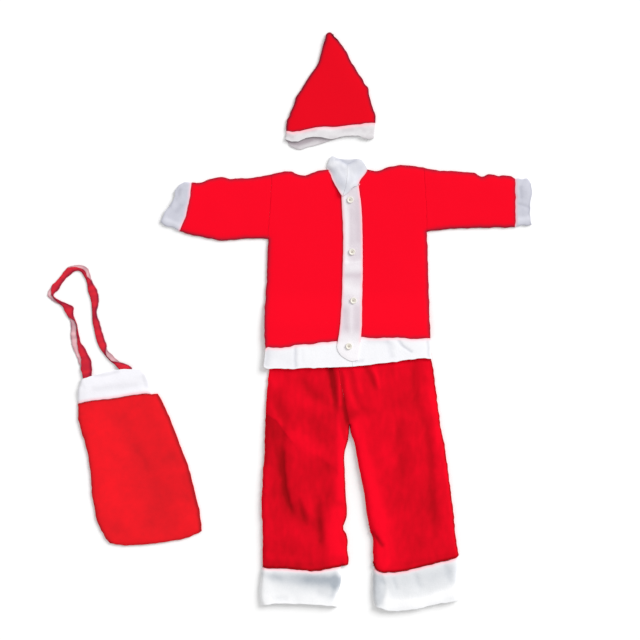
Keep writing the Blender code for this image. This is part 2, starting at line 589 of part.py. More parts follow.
def turned(profile, segments):
    """A solid of revolution about Z from rows of (radius, height)."""
    mesh = bpy.data.meshes.new("profile")
    points = [(radius * MM, 0.0, height * MM) for radius, height in profile]
    mesh.from_pydata(points, [(i, i + 1) for i in range(len(points) - 1)], [])
    piece = bpy.data.objects.new("profile", mesh)
    parts.objects.link(piece)
    screw = piece.modifiers.new("turn", "SCREW")
    screw.steps = screw.render_steps = segments
    screw.use_merge_vertices = True
    screw.merge_threshold = 1e-5
    screw.use_normal_calculate = True
    return piece


# ---------------------------------------------------------------- the set

for old in list(bpy.data.objects):
    bpy.data.objects.remove(old, do_unlink=True)

parts = collection("santa_suit")
cutters = collection("santa_suit_cutters")

jacket = garment("jacket", JACKET_AT)
trousers = garment("trousers", TROUSERS_AT)
hat = garment("hat", HAT_AT)
sack = garment("sack", SACK_AT, SACK_TURN)

FRONT_ROWS = joined(even(6), even(5))
RIGHT_COLUMNS = joined(crowded_first(4), even(3), even(2))
LEFT_COLUMNS = joined(even(2), even(3), crowded_last(4))
BACK_COLUMNS = joined(crowded_first(3), even(3), crowded_last(3))
LEG_COLUMNS, LEG_ROWS = crowded(18), joined(crowded_first(16), even(11))
LEG_BACK_COLUMNS, LEG_BACK_ROWS = crowded(12), joined(even(6), even(4))
SIDE_TO_SIDE = crowded(12)

Cut = namedtuple("Cut", "name garment left right bottom top columns rows under wall")
CUTS = (
    Cut("jacket_back", jacket, (SIDE_RIGHT, ARMHOLE_RIGHT), (SIDE_LEFT, ARMHOLE_LEFT), (BACK_HEM_SEAM,),
        (SHOULDER_RIGHT, BACK_NECK, SHOULDER_LEFT), BACK_COLUMNS, FRONT_ROWS, jacket_back_under, KNIT),
    Cut("jacket_front_right", jacket, (SIDE_RIGHT, ARMHOLE_RIGHT), (FRONT_EDGE_RIGHT,), (HEM_SEAM_RIGHT,),
        (SHOULDER_RIGHT, NECK_RIGHT, NECK_END_RIGHT), RIGHT_COLUMNS, FRONT_ROWS, jacket_front_under, KNIT),
    Cut("jacket_front_left", jacket, (FRONT_EDGE_LEFT,), (SIDE_LEFT, ARMHOLE_LEFT), (HEM_SEAM_LEFT,),
        (NECK_END_LEFT, NECK_LEFT, SHOULDER_LEFT), LEFT_COLUMNS, FRONT_ROWS, jacket_front_under, KNIT),
    Cut("hem_back", jacket, (HEM_SIDE_RIGHT,), (HEM_SIDE_LEFT,), (BACK_HEM_EDGE,), (BACK_HEM_SEAM,),
        BACK_COLUMNS, even(3), jacket_back_under, FLEECE),
    Cut("hem_front_right", jacket, (HEM_SIDE_RIGHT,), (HEM_END_RIGHT,), (HEM_EDGE_RIGHT,),
        (HEM_SEAM_RIGHT,), RIGHT_COLUMNS, even(3), hem_front_under, FLEECE),
    Cut("hem_front_left", jacket, (HEM_END_LEFT,), (HEM_SIDE_LEFT,), (HEM_EDGE_LEFT,),
        (HEM_SEAM_LEFT,), LEFT_COLUMNS, even(3), hem_front_under, FLEECE),
    Cut("placket", jacket, (PLACKET_RIGHT,), (PLACKET_LEFT,), (PLACKET_TONGUE,), (PLACKET_TOP,),
        even(6), joined(even(20)), placket_under, FLEECE),
    Cut("collar_back", jacket, (COLLAR_FOLD_RIGHT,), (COLLAR_FOLD_LEFT,), (BACK_NECK,), (COLLAR_BACK_TOP,),
        even(3), even(2), flat, FLEECE),
    Cut("collar_right", jacket, (COLLAR_FOLD_RIGHT,), (COLLAR_MEETING,), (NECK_RIGHT,),
        (COLLAR_TOP_RIGHT,), even(3), even(4), collar_under, FLEECE),
    Cut("collar_left", jacket, (COLLAR_MEETING,), (COLLAR_FOLD_LEFT,), (COLLAR_END_LEFT, NECK_LEFT),
        (COLLAR_TOP_LEFT,), joined(even(3), even(3)), even(4), collar_under, FLEECE),
    Cut("trouser_back_right", trousers, (LEG_OUTER_RIGHT, HIP_RIGHT), (LEG_INNER_RIGHT, CENTRE_SEAM),
        (LEG_END_RIGHT,), (WAIST_SEAM_RIGHT,), LEG_BACK_COLUMNS, LEG_BACK_ROWS, flat, KNIT),
    Cut("trouser_back_left", trousers, (LEG_INNER_LEFT, CENTRE_SEAM), (LEG_OUTER_LEFT, HIP_LEFT),
        (LEG_END_LEFT,), (WAIST_SEAM_LEFT,), LEG_BACK_COLUMNS, LEG_BACK_ROWS, flat, KNIT),
    Cut("trouser_front_right", trousers, (LEG_OUTER_RIGHT, HIP_RIGHT), (LEG_INNER_RIGHT, CENTRE_SEAM),
        (LEG_END_RIGHT,), (WAIST_SEAM_RIGHT,), LEG_COLUMNS, LEG_ROWS, trouser_front_under, KNIT),
    Cut("trouser_front_left", trousers, (LEG_INNER_LEFT, CENTRE_SEAM), (LEG_OUTER_LEFT, HIP_LEFT),
        (LEG_END_LEFT,), (WAIST_SEAM_LEFT,), LEG_COLUMNS, LEG_ROWS, trouser_front_under, KNIT),
    Cut("waistband_back", trousers, (WAIST_SIDE_RIGHT,), (WAIST_SIDE_LEFT,),
        (WAIST_SEAM_RIGHT, WAIST_SEAM_LEFT), (WAIST_EDGE,), SIDE_TO_SIDE, even(1), flat, KNIT),
    Cut("waistband_front", trousers, (WAIST_SIDE_RIGHT,), (WAIST_SIDE_LEFT,),
        (WAIST_SEAM_RIGHT, WAIST_SEAM_LEFT), (WAIST_EDGE,), SIDE_TO_SIDE, even(2),
        trouser_front_under, KNIT),
    Cut("hat_back", hat, (HAT_RIGHT,), (HAT_LEFT,), (HAT_SEAM,), (HAT_TIP,), SIDE_TO_SIDE, even(8),
        flat, KNIT),
    Cut("hat_front", hat, (HAT_RIGHT,), (HAT_LEFT,), (HAT_SEAM,), (HAT_TIP,), SIDE_TO_SIDE, even(10),
        hat_front_under, KNIT),
    Cut("bag_back", sack, (SACK_RIGHT,), (SACK_LEFT,), (SACK_FOOT,), (SACK_SEAM,), SIDE_TO_SIDE, even(8),
        flat, KNIT),
    Cut("bag_front", sack, (SACK_RIGHT,), (SACK_LEFT,), (SACK_FOOT,), (SACK_SEAM,), SIDE_TO_SIDE,
        crowded_first(14), sack_front_under, KNIT),
)
for cut in CUTS:
    grid = patch(cut.left, cut.right, cut.bottom, cut.top, cut.columns, cut.rows)
    piece = cut_sheet(drawn_in(grid), cut.under, cut.wall)
    cloth = KNIT_RED if cut.wall == KNIT else FLEECE_WHITE
    finished(piece, cut.name, cloth, CLOTH_ROUGHNESS, cut.garment)

Ring = namedtuple("Ring", "name garment low high seam front_end back_end rows rise wall")
RINGS = (
    Ring("sleeve_right", jacket, SLEEVE_RIGHT_LOW, SLEEVE_RIGHT_TOP, ARMHOLE_RIGHT, CUFF_SEAM_RIGHT,
         CUFF_SEAM_RIGHT, 7, jacket_rise, KNIT),
    Ring("sleeve_left", jacket, SLEEVE_LEFT_LOW, SLEEVE_LEFT_TOP, ARMHOLE_LEFT, CUFF_SEAM_LEFT,
         CUFF_SEAM_LEFT, 7, jacket_rise, KNIT),
    Ring("sleeve_cuff_right", jacket, CUFF_RIGHT_LOW, CUFF_RIGHT_TOP, CUFF_SEAM_RIGHT, CUFF_RIGHT_END,
         CUFF_RIGHT_END, 3, jacket_rise, FLEECE),
    Ring("sleeve_cuff_left", jacket, CUFF_LEFT_LOW, CUFF_LEFT_TOP, CUFF_SEAM_LEFT, CUFF_LEFT_END,
         CUFF_LEFT_END, 3, jacket_rise, FLEECE),
    Ring("trouser_cuff_right", trousers, LEG_CUFF_OUTER_RIGHT, LEG_CUFF_INNER_RIGHT, LEG_CUFF_SEAM_RIGHT,
         LEG_CUFF_EDGE_RIGHT, LEG_CUFF_EDGE_RIGHT, 4, trouser_rise, FLEECE),
    Ring("trouser_cuff_left", trousers, LEG_CUFF_INNER_LEFT, LEG_CUFF_OUTER_LEFT, LEG_CUFF_SEAM_LEFT,
         LEG_CUFF_EDGE_LEFT, LEG_CUFF_EDGE_LEFT, 4, trouser_rise, FLEECE),
    Ring("hat_band", hat, HAT_BAND_RIGHT, HAT_BAND_LEFT, HAT_SEAM, HAT_BAND_FRONT, HAT_BAND_BACK, 2,
         hat_rise, FLEECE),
    Ring("bag_band", sack, SACK_BAND_RIGHT, SACK_BAND_LEFT, SACK_BAND_SEAM, SACK_MOUTH, SACK_MOUTH, 4,
         sack_band_rise, FLEECE),
)
for ring in RINGS:
    layers = []
    for end in (ring.front_end, ring.back_end):
        strip = patch((ring.low,), (ring.high,), (ring.seam,), (end,), SIDE_TO_SIDE, even(ring.rows))
        layers.append(drawn_in(strip, sides=False))
    piece = flattened_tube(*layers, ring.rise, ring.wall)
    cloth = KNIT_RED if ring.wall == KNIT else FLEECE_WHITE
    finished(piece, ring.name, cloth, CLOTH_ROUGHNESS, ring.garment)

strap = folded_strip(STRAP, STRAP_WALL, STRAP_GAP)
finished(strap, "bag_strap", KNIT_RED, CLOTH_ROUGHNESS, sack)

for number, (x, y) in enumerate(BUTTONS, start=1):
    button = turned(BUTTON_PROFILE, BUTTON_SEGMENTS)
    spots = np.array([(x + a, y + b) for a in (-7, 0, 7) for b in (-7, 0, 7)], float)
    rest = (placket_under(spots[:, 0], spots[:, 1]).max() + FLEECE + SEAM) * MM
    button.location = (x * MM, y * MM, rest)
    holes = bmesh.new()
    for across in (-1, 1):
        for up in (-1, 1):
            place = Matrix.Translation((across * BUTTON_HOLE_ASIDE * MM, up * BUTTON_HOLE_ASIDE * MM, 0))
            bmesh.ops.create_cone(holes, cap_ends=True, segments=6, radius1=BUTTON_HOLE_RADIUS * MM,
                                  radius2=BUTTON_HOLE_RADIUS * MM, depth=8 * MM, matrix=place)
    drill_mesh = bpy.data.meshes.new(f"button_{number}_holes")
    holes.to_mesh(drill_mesh)
    holes.free()
    drill = bpy.data.objects.new(f"button_{number}_holes", drill_mesh)
    drill.location = button.location
    drill.parent = jacket
    drill.hide_render = True
    drill.display_type = "WIRE"
    cutters.objects.link(drill)
    bore = button.modifiers.new("holes", "BOOLEAN")
    bore.operation = "DIFFERENCE"
    bore.solver = "EXACT"
    bore.object = drill
    finished(button, f"button_{number}", BUTTON_CREAM, BUTTON_ROUGHNESS, jacket)
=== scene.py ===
"""The looks of a child's Santa suit laid out flat: brushed red knit, white fleece trim, cream buttons."""

import math
from collections import namedtuple

import bmesh
import bpy
import numpy as np
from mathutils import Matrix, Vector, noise


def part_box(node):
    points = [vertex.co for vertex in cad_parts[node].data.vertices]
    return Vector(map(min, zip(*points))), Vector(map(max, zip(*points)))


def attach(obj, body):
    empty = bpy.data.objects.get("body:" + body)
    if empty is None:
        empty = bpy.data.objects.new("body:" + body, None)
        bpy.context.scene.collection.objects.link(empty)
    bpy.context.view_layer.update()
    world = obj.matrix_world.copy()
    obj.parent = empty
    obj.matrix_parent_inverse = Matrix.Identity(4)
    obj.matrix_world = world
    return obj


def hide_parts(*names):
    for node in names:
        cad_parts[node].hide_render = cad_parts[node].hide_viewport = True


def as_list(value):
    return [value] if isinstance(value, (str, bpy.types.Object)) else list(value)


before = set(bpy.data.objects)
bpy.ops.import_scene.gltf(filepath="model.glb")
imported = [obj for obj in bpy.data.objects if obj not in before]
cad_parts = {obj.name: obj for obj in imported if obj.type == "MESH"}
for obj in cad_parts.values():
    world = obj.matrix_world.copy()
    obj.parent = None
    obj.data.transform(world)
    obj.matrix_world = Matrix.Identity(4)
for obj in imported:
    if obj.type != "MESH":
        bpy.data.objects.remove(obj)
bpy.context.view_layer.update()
bpy.ops.object.select_all(action="DESELECT")


# ---- Camera
# The whole set lies inside the view. It is looked at from straight above, and from far enough away that
# the cloth's upright edges don't show.
SENSOR_WIDTH = 36.0
CAMERA_HEIGHT = 3.0
VIEW_WIDTH = 1.408
VIEW_MIDDLE = (0.06695, 0.00267)

camera_data = bpy.data.cameras.new("camera")
camera_data.sensor_width = SENSOR_WIDTH
camera_data.lens = SENSOR_WIDTH * CAMERA_HEIGHT / VIEW_WIDTH
camera = bpy.data.objects.new("camera", camera_data)
camera.location = (*VIEW_MIDDLE, CAMERA_HEIGHT)
bpy.context.scene.collection.objects.link(camera)
bpy.context.scene.camera = camera
bpy.context.scene.view_settings.view_transform = "Standard"


# ---- Floor and light
# A plain white studio table, just under the cloth. One broad lamp stands at the upper right, and the white
# room round it fills the shadows.
FLOOR_SIZE = 16.0
FLOOR_DROP = 0.0003
FLOOR_WHITE = (0.93, 0.93, 0.93)
FLOOR_ROUGHNESS = 0.9
FLOOR_GLOSS = 0.1
LAMP_STRENGTH = 2.7
LAMP_SPREAD = 30.0
LAMP_LEAN = 60.0
LAMP_TURN = 128.0
ROOM_STRENGTH = 0.70

bpy.ops.mesh.primitive_plane_add(size=FLOOR_SIZE, location=(0, 0, -FLOOR_DROP))
floor = bpy.context.object
floor.name = "floor"
floor_paint = bpy.data.materials.new("floor_paint")
floor_paint.use_nodes = True
floor_shader = floor_paint.node_tree.nodes["Principled BSDF"]
floor_shader.inputs["Base Color"].default_value = (*FLOOR_WHITE, 1)
floor_shader.inputs["Roughness"].default_value = FLOOR_ROUGHNESS
floor_shader.inputs["Specular IOR Level"].default_value = FLOOR_GLOSS
floor.data.materials.append(floor_paint)

lamp_data = bpy.data.lights.new("lamp", "SUN")
lamp_data.energy = LAMP_STRENGTH
lamp_data.angle = math.radians(LAMP_SPREAD)
lamp = bpy.data.objects.new("lamp", lamp_data)
lamp.rotation_euler = (math.radians(LAMP_LEAN), 0, math.radians(LAMP_TURN))
bpy.context.scene.collection.objects.link(lamp)

room = bpy.data.worlds.new("room")
room.use_nodes = True
room_light = room.node_tree.nodes["Background"]
room_light.inputs["Color"].default_value = (1, 1, 1, 1)
room_light.inputs["Strength"].default_value = ROOM_STRENGTH
bpy.context.scene.world = room


# ---- Jacket back
# The lower layer of the jacket: one piece of brushed red knit, flat on the table and lying over the
# waist of the trousers at its lower end. Sewn to the fronts at the sides and shoulders. Cloth is measured
# in millimetres, from a point of its own garment.
MM = 0.001
KNIT = 1.7
FLEECE = 2.0
SEAM = 0.3
LAY = 0.5
ROLL = 9.0
PUFF = 1.8
WAIST_PUFF = 1.0
STRAY = 1.5
STRAY_SIZE = 11.0
STRAY_SEEDS = (0.5, 52.3)
STRAY_AT_CENTRE = 0.35
CENTRE_REACH = 30
EVEN_CELLS = 0.55
CUT_RIM = 0.05
RIM_ANGLE = 60
SET_MIDDLE = (-0.95, 1.73)

Garment = namedtuple("Garment", "x y turn")
JACKET = Garment(136.5, -97.0, 0.0)

SIDE_RIGHT = ((-190.5, 38), (-191.5, 50), (-193, 101), (-189, 167), (-185, 279))
ARMHOLE_RIGHT = ((-185, 279), (-180, 354), (-176, 422))
SHOULDER_RIGHT = ((-176, 422), (-154, 427), (-134, 428), (-119, 421), (-101, 419), (-84, 427), (-55, 432))
SIDE_LEFT = ((172, 61), (170, 123), (168, 189), (165, 295))
ARMHOLE_LEFT = ((165, 295), (162, 365), (158, 436))
SHOULDER_LEFT = ((35.5, 432), (57, 429), (75, 436), (92, 440), (119, 442), (158, 436))
BACK_NECK = ((-55, 432), (-11, 426), (35.5, 432))
BACK_HEM_SEAM = ((-190.5, 38), (-60, 52), (60, 62), (172, 61))
WAIST_STEP = (168, 78)


def along(rows, t):
    """Points at the fractions t of a smooth curve through the rows of a table."""
    points = np.array(rows, float)
    t = np.asarray(t, float)
    steps = np.linalg.norm(np.diff(points[:, :2], axis=0), axis=1)
    knots = np.concatenate([[0.0], np.cumsum(steps)]) / steps.sum()
    slopes = np.gradient(points, knots, axis=0)
    i = np.clip(np.searchsorted(knots, t, side="right") - 1, 0, len(knots) - 2)
    span = (knots[i + 1] - knots[i])[..., None]
    f = ((t - knots[i]) / (knots[i + 1] - knots[i]))[..., None]
    return (
        (2 * f**3 - 3 * f**2 + 1) * points[i]
        + (f**3 - 2 * f**2 + f) * span * slopes[i]
        + (3 * f**2 - 2 * f**3) * points[i + 1]
        + (f**3 - f**2) * span * slopes[i + 1]
    )


def chain(seams, t):
    """Points along a seam, or along a tuple of seams laid end to end, each over an equal share of t, so
    that their corners stay."""
    if np.ndim(seams[0][0]) == 0:
        seams = (seams,)
    place = np.clip(np.asarray(t, float) * len(seams), 0, len(seams) - 1e-9)
    points = np.zeros((*place.shape, 2))
    for number, rows in enumerate(seams):
        mine = place.astype(int) == number
        points[mine] = along(rows, place[mine] - number)
    return points


def stops(*counts):
    """Fractions along a chain of seams, with a count of cells for each, a little closer at each seam's
    ends, where the cloth turns over."""
    shares = []
    for number, cells in enumerate(counts):
        plain = np.linspace(0, 1, cells + 1)
        eased = EVEN_CELLS * plain + (1 - EVEN_CELLS) * (1 - np.cos(plain * math.pi)) / 2
        shares.append((number + eased) / len(counts))
    return np.unique(np.concatenate(shares).round(9))


def patch(left, right, bottom, top, columns, rows):
    """A grid of (x, y) between four chains of seams. Bottom and top run from left to right, left and
    right from bottom to top. Its edges are drawn in by half a seam gap."""
    u, v = np.meshgrid(columns, rows)
    u, v = u[..., None], v[..., None]
    low, high = chain(bottom, columns)[None], chain(top, columns)[None]
    near, far = chain(left, rows)[:, None], chain(right, rows)[:, None]
    corners = (
        (1 - u) * (1 - v) * low[:, :1] + u * (1 - v) * low[:, -1:]
        + (1 - u) * v * high[:, :1] + u * v * high[:, -1:]
    )
    grid = (1 - v) * low + v * high + (1 - u) * near + u * far - corners
    shift = np.zeros_like(grid)
    edges = (
        (grid[0], grid[1], shift[0]), (grid[-1], grid[-2], shift[-1]),
        (grid[:, 0], grid[:, 1], shift[:, 0]), (grid[:, -1], grid[:, -2], shift[:, -1]),
    )
    for edge, neighbour, moved in edges:
        run = np.gradient(edge, axis=0)
        run /= np.linalg.norm(run, axis=1)[:, None]
        inward = neighbour - edge
        inward -= (inward * run).sum(1)[:, None] * run
        moved += inward / np.linalg.norm(inward, axis=1)[:, None] * SEAM / 2
    return grid + shift


def step(value, start, end):
    """A smooth step from 0 at start to 1 at end."""
    share = np.clip((value - start) / (end - start), 0, 1)
    return share * share * (3 - 2 * share)


def on_the_table(points, garment):
    """Points in a garment's own millimetres, as metres in the set. No edge of soft cloth is quite even:
    each point strays a little, together with those around it, and least near the centre front."""
    places = points[:, :2] / STRAY_SIZE
    stray = [[noise.noise((px, py, seed)) for seed in STRAY_SEEDS] for px, py in places]
    aside = np.clip((np.abs(points[:, 0]) - CENTRE_REACH) / CENTRE_REACH, 0, 1)
    reach = STRAY * (STRAY_AT_CENTRE + (1 - STRAY_AT_CENTRE) * aside)
    x, y = (points[:, :2] + reach[:, None] * np.array(stray)).T
    turn = math.radians(garment.turn)
    across = x * math.cos(turn) - y * math.sin(turn) + garment.x - SET_MIDDLE[0]
    up = x * math.sin(turn) + y * math.cos(turn) + garment.y - SET_MIDDLE[1]
    return np.column_stack([across, up, points[:, 2]]) * MM


def cloth_object(name, points, faces, shade, blush, wall, rim, garment, cloth, lining=None):
    """A layer of cloth: its outer face as given, its wall behind it, and its cut edges rounded over. Its
    shade is painted shade: darker in its folds, along its edges and where other parts shade it, with
    painted highlights on some ridges and some uneven tone; and its blush how much red shows through white."""
    corner = points[faces[:, :3]]
    upright = np.cross(corner[:, 1] - corner[:, 0], corner[:, 2] - corner[:, 1])[:, 2]
    if upright[: len(faces) // 4].sum() < 0:
        faces = faces[:, ::-1]
    mesh = bpy.data.meshes.new(name)
    mesh.from_pydata(on_the_table(points, garment).tolist(), [], faces.tolist())
    for key, values in (("shade", shade), ("blush", blush)):
        tone = mesh.attributes.new(key, "FLOAT", "POINT")
        tone.data.foreach_set("value", np.clip(values, 0, 1).astype(np.float32))
    mesh.materials.append(cloth)
    if lining:
        mesh.materials.append(lining)
    piece = bpy.data.objects.new(name, mesh)
    bpy.context.scene.collection.objects.link(piece)
    bpy.context.view_layer.objects.active = piece
    depth = piece.modifiers.new("wall", "SOLIDIFY")
    depth.thickness = wall * MM
    depth.offset = -1.0
    depth.material_offset = 1 if lining else 0
    bpy.ops.object.modifier_apply(modifier="wall")
    rounding = piece.modifiers.new("rim", "BEVEL")
    rounding.width = rim * MM
    rounding.segments = 2
    rounding.limit_method = "ANGLE"
    rounding.angle_limit = math.radians(RIM_ANGLE)
    bpy.ops.object.modifier_apply(modifier="rim")
    piece.data.shade_smooth()
    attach(piece, "root")
    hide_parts(name)
    return piece


def grid_faces(rows, columns, around=False):
    """Four-cornered faces over a grid of points, which may close on itself across its columns."""
    i, j = np.meshgrid(np.arange(rows - 1), np.arange(columns if around else columns - 1), indexing="ij")
    here, there = i * columns + j, i * columns + (j + 1) % columns
    return np.stack([here, there, there + columns, here + columns], -1).reshape(-1, 4)


def cut_size(grid):
    """The width, length and area of a flat piece in metres, measured on its grid."""
    across = np.linalg.norm(np.diff(grid, axis=1), axis=-1).sum(1).max()
    down = np.linalg.norm(np.diff(grid, axis=0), axis=-1).sum(0).max()
    first, second = grid[1:, 1:] - grid[:-1, :-1], grid[1:, :-1] - grid[:-1, 1:]
    area = np.abs(first[..., 0] * second[..., 1] - first[..., 1] * second[..., 0]).sum() / 2
    return across * MM, down * MM, area * MM * MM


def level(height):
    """A height or a tone that is the same all over a layer."""
    return lambda x, y: np.full(np.shape(x), float(height))


def sheet_of(name, grid, top, shade, wall, garment, cloth, blush=level(0), rim=CUT_RIM):
    """One cut piece of cloth with its outer face at the height top."""
    x, y = grid[..., 0], grid[..., 1]
    points = np.column_stack([x.ravel(), y.ravel(), top(x, y).ravel()])
    piece = cloth_object(
        name, points, grid_faces(*grid.shape[:2]), shade(x, y).ravel(), blush(x, y).ravel(), wall, rim,
        garment, cloth,
    )
    width, length, area = cut_size(grid)
    return piece


def plug(tree, socket, value):
    """Sets a socket of a node to a value, or ties a thread into it."""
    if isinstance(value, Thread):
        tree.links.new(value.socket, socket)
    else:
        socket.default_value = value


class Thread:
    """An output of a material's node, so that shader maths is written as an expression."""

    def __init__(self, tree, socket):
        self.tree, self.socket = tree, socket

    def maths(self, operation, first, second):
        node = self.tree.nodes.new("ShaderNodeMath")
        node.operation = operation
        plug(self.tree, node.inputs[0], first)
        plug(self.tree, node.inputs[1], second)
        return Thread(self.tree, node.outputs[0])

    def __add__(self, other):
        return self.maths("ADD", self, other)

    def __sub__(self, other):
        return self.maths("SUBTRACT", self, other)

    def __rsub__(self, other):
        return self.maths("SUBTRACT", other, self)

    def __mul__(self, other):
        return self.maths("MULTIPLY", self, other)

    __radd__, __rmul__ = __add__, __mul__


class Finish:
    """A material being made up, from its name and the values that are the same all over it."""

    def __init__(self, name, values):
        self.material = bpy.data.materials.new(name)
        self.material.use_nodes = True
        self.tree = self.material.node_tree
        self.shader = self.tree.nodes["Principled BSDF"]
        self.place = self.node("ShaderNodeTexCoord", {}, output="Object")
        for entry, value in values.items():
            self.shader.inputs[entry].default_value = value

    def node(self, kind, entries, settings=None, output=0):
        """Adds a node: its settings first, then the values or threads of its sockets."""
        node = self.tree.nodes.new(kind)
        for key, value in (settings or {}).items():
            setattr(node, key, value)
        for entry, value in entries.items():
            plug(self.tree, node.inputs[entry], value)
        return Thread(self.tree, node.outputs[output])

    def speckle(self, scale, detail, roughness, place=None):
        """Soft noise through the cloth."""
        entries = {"Vector": place or self.place, "Scale": scale, "Detail": detail, "Roughness": roughness}
        return self.node("ShaderNodeTexNoise", entries)

    def painted(self, name):
        """A tone that the piece's own mesh carries at each point."""
        return self.node("ShaderNodeAttribute", {}, {"attribute_name": name}, output="Fac")

    def blend(self, factor, first, second):
        """A colour between two colours, of which the second is a plain one."""
        entries = {0: factor, 6: first if isinstance(first, Thread) else (*first, 1.0), 7: (*second, 1.0)}
        return self.node("ShaderNodeMix", entries, {"data_type": "RGBA"}, output=2)

    def feed(self, **threads):
        for entry, thread in threads.items():
            self.tree.links.new(thread.socket, self.shader.inputs[entry.replace("_", " ")])
        return self.material


NAP_STRETCH = (900.0, 520.0, 900.0)
NAP_TONE = 0.16
BRUSHING_TONE = 0.10
KNIT_SHEEN = (1.0, 0.05, 0.07, 1.0)


def brushed_knit(name, bright, deep, mottle):
    """Brushed polyester knit: a short nap over fine wales, blended toward its deep colour by the painted
    shade it carries.
    """
    finish = Finish(name, {
        "Specular IOR Level": 0.04, "Sheen Weight": 0.08, "Sheen Roughness": 0.45,
        "Sheen Tint": KNIT_SHEEN,
    })
    stretched = finish.node("ShaderNodeMapping", {"Vector": finish.place, "Scale": NAP_STRETCH})
    nap = finish.speckle(1.0, 3.0, 0.65, stretched)
    cloud = finish.speckle(22.0, 3.0, 0.55)
    brushing = finish.speckle(160.0, 2.0, 0.6)
    wales = finish.node(
        "ShaderNodeTexWave", {"Vector": finish.place, "Scale": 330.0, "Distortion": 1.6, "Detail": 2.0},
        {"wave_type": "BANDS", "bands_direction": "X"}, output="Fac",
    )
    # The shade attribute is painted shade; the cloud, nap and brushing add random tone.
    depth = finish.painted("shade") + (cloud - 0.5) * mottle
    depth = depth + (nap - 0.5) * NAP_TONE + (brushing - 0.5) * BRUSHING_TONE
    colour = finish.blend(finish.node("ShaderNodeClamp", {"Value": depth}), bright, deep)
    height = nap * 0.7 + wales * 0.3
    bump = finish.node("ShaderNodeBump", {"Strength": 0.35, "Distance": 0.0004, "Height": height})
    return finish.feed(Base_Color=colour, Roughness=0.82 + nap * 0.16, Normal=bump)


def jacket_lift(y):
    """How high the jacket is carried by the waist of the trousers."""
    return (2 * KNIT + SEAM + WAIST_PUFF + LAY) * step(y, *WAIST_STEP)


JACKET_BRIGHT = (0.870, 0.0020, 0.0160)
JACKET_DEEP = (0.300, 0.0115, 0.0300)
jacket_knit = brushed_knit("jacket_knit", JACKET_BRIGHT, JACKET_DEEP, mottle=0.06)

back_grid = patch(
    (SIDE_RIGHT, ARMHOLE_RIGHT), (SIDE_LEFT, ARMHOLE_LEFT), BACK_HEM_SEAM,
    (SHOULDER_RIGHT, BACK_NECK, SHOULDER_LEFT), stops(14, 12, 14), stops(34, 22),
)
sheet_of(
    "jacket_back", back_grid, lambda x, y: jacket_lift(y) + KNIT, level(0), KNIT, JACKET, jacket_knit,
)


# ---- Jacket fronts
# Two fronts of the same knit, sewn to the back at the sides and shoulders. They lie on it with a little
# air between, and meet under the placket. Their lower edge turns down over the hem band.
NECK_RIGHT = ((-55, 432), (-46.3, 419.3), (-44.3, 411.6), (-37.9, 399.9), (-30.5, 385.9), (-22, 372))
NECK_END_RIGHT = ((-22, 372), (0, 352))
FRONT_EDGE_RIGHT = ((0, 57), (0, 352))
HEM_SEAM_RIGHT = (
    (-190.5, 38), (-186, 40.3), (-170, 40.8), (-147, 41), (-136, 43.5), (-125, 45.8), (-99, 48),
    (-33, 55), (0, 57),
)
NECK_LEFT = ((15, 397), (15.5, 403), (17.5, 408), (22, 414), (30, 424), (35.5, 432))
NECK_END_LEFT = ((0, 374), (15, 397))
FRONT_EDGE_LEFT = ((0, 66), (0, 374))
HEM_SEAM_LEFT = (
    (0, 66), (18, 65), (33, 62.7), (48, 61.8), (64, 62.2), (84, 63), (98, 63.4), (112, 61.8), (126, 60.2),
    (141, 59.9), (156, 61), (172, 61),
)
HEM_SIDE_RIGHT = ((-194.5, 3), (-193.2, 13), (-191.8, 24), (-190.5, 38))
HEM_SIDE_LEFT = ((174, 15.5), (173, 40), (172, 61))
SLEEVE_RIGHT_LOW = (
    (-185, 279), (-215.9, 280.3), (-251, 278.5), (-286.2, 275.1), (-321.3, 282), (-352.1, 287.6),
    (-380, 297),
)
SLEEVE_RIGHT_TOP = (
    (-176, 422), (-207, 416.1), (-246, 413.2), (-273.1, 413.1), (-279, 415.3), (-293.1, 414.9),
    (-306.4, 412.6), (-320.1, 409.8), (-326.1, 406.1), (-352, 403),
)
SLEEVE_LEFT_LOW = ((165, 295), (196.1, 299.9), (233, 302.3), (286, 303.8), (358, 305))
SLEEVE_LEFT_TOP = (
    (158, 436), (194, 430.4), (233, 428.7), (260.1, 425.5), (272, 424.2), (279.4, 418.7), (283.8, 416.7),
    (291.4, 418.1), (297, 421), (308.1, 421.3), (323, 418.8), (332.1, 419.5), (348.4, 417.4), (358, 413),
)
CUFF_RIGHT_LOW = ((-380, 297), (-395, 304), (-409, 307), (-421, 316))
CUFF_RIGHT_TOP = ((-352, 403), (-367, 405), (-380, 399), (-389, 387))
CUFF_LEFT_LOW = ((358, 305), (372, 310), (384, 309), (394, 311))
CUFF_LEFT_TOP = ((358, 413), (372, 412), (385, 412), (394, 401))
PLACKET_RIGHT = ((-34, 42), (-29, 70), (-24, 123), (-21, 211), (-20, 299), (-24, 374))
PLACKET_LEFT = ((14, 14), (20, 70), (22, 145), (23, 277), (21, 339), (14, 402))
JACKET_RIM = (
    SIDE_RIGHT, SHOULDER_RIGHT, HEM_SIDE_RIGHT, SIDE_LEFT, SHOULDER_LEFT, HEM_SIDE_LEFT,
    SLEEVE_RIGHT_LOW, SLEEVE_RIGHT_TOP, CUFF_RIGHT_LOW, CUFF_RIGHT_TOP,
    SLEEVE_LEFT_LOW, SLEEVE_LEFT_TOP, CUFF_LEFT_LOW, CUFF_LEFT_TOP,
)
HEM_SEAMS = (HEM_SEAM_RIGHT, HEM_SEAM_LEFT)
SEAM_POINTS = 33


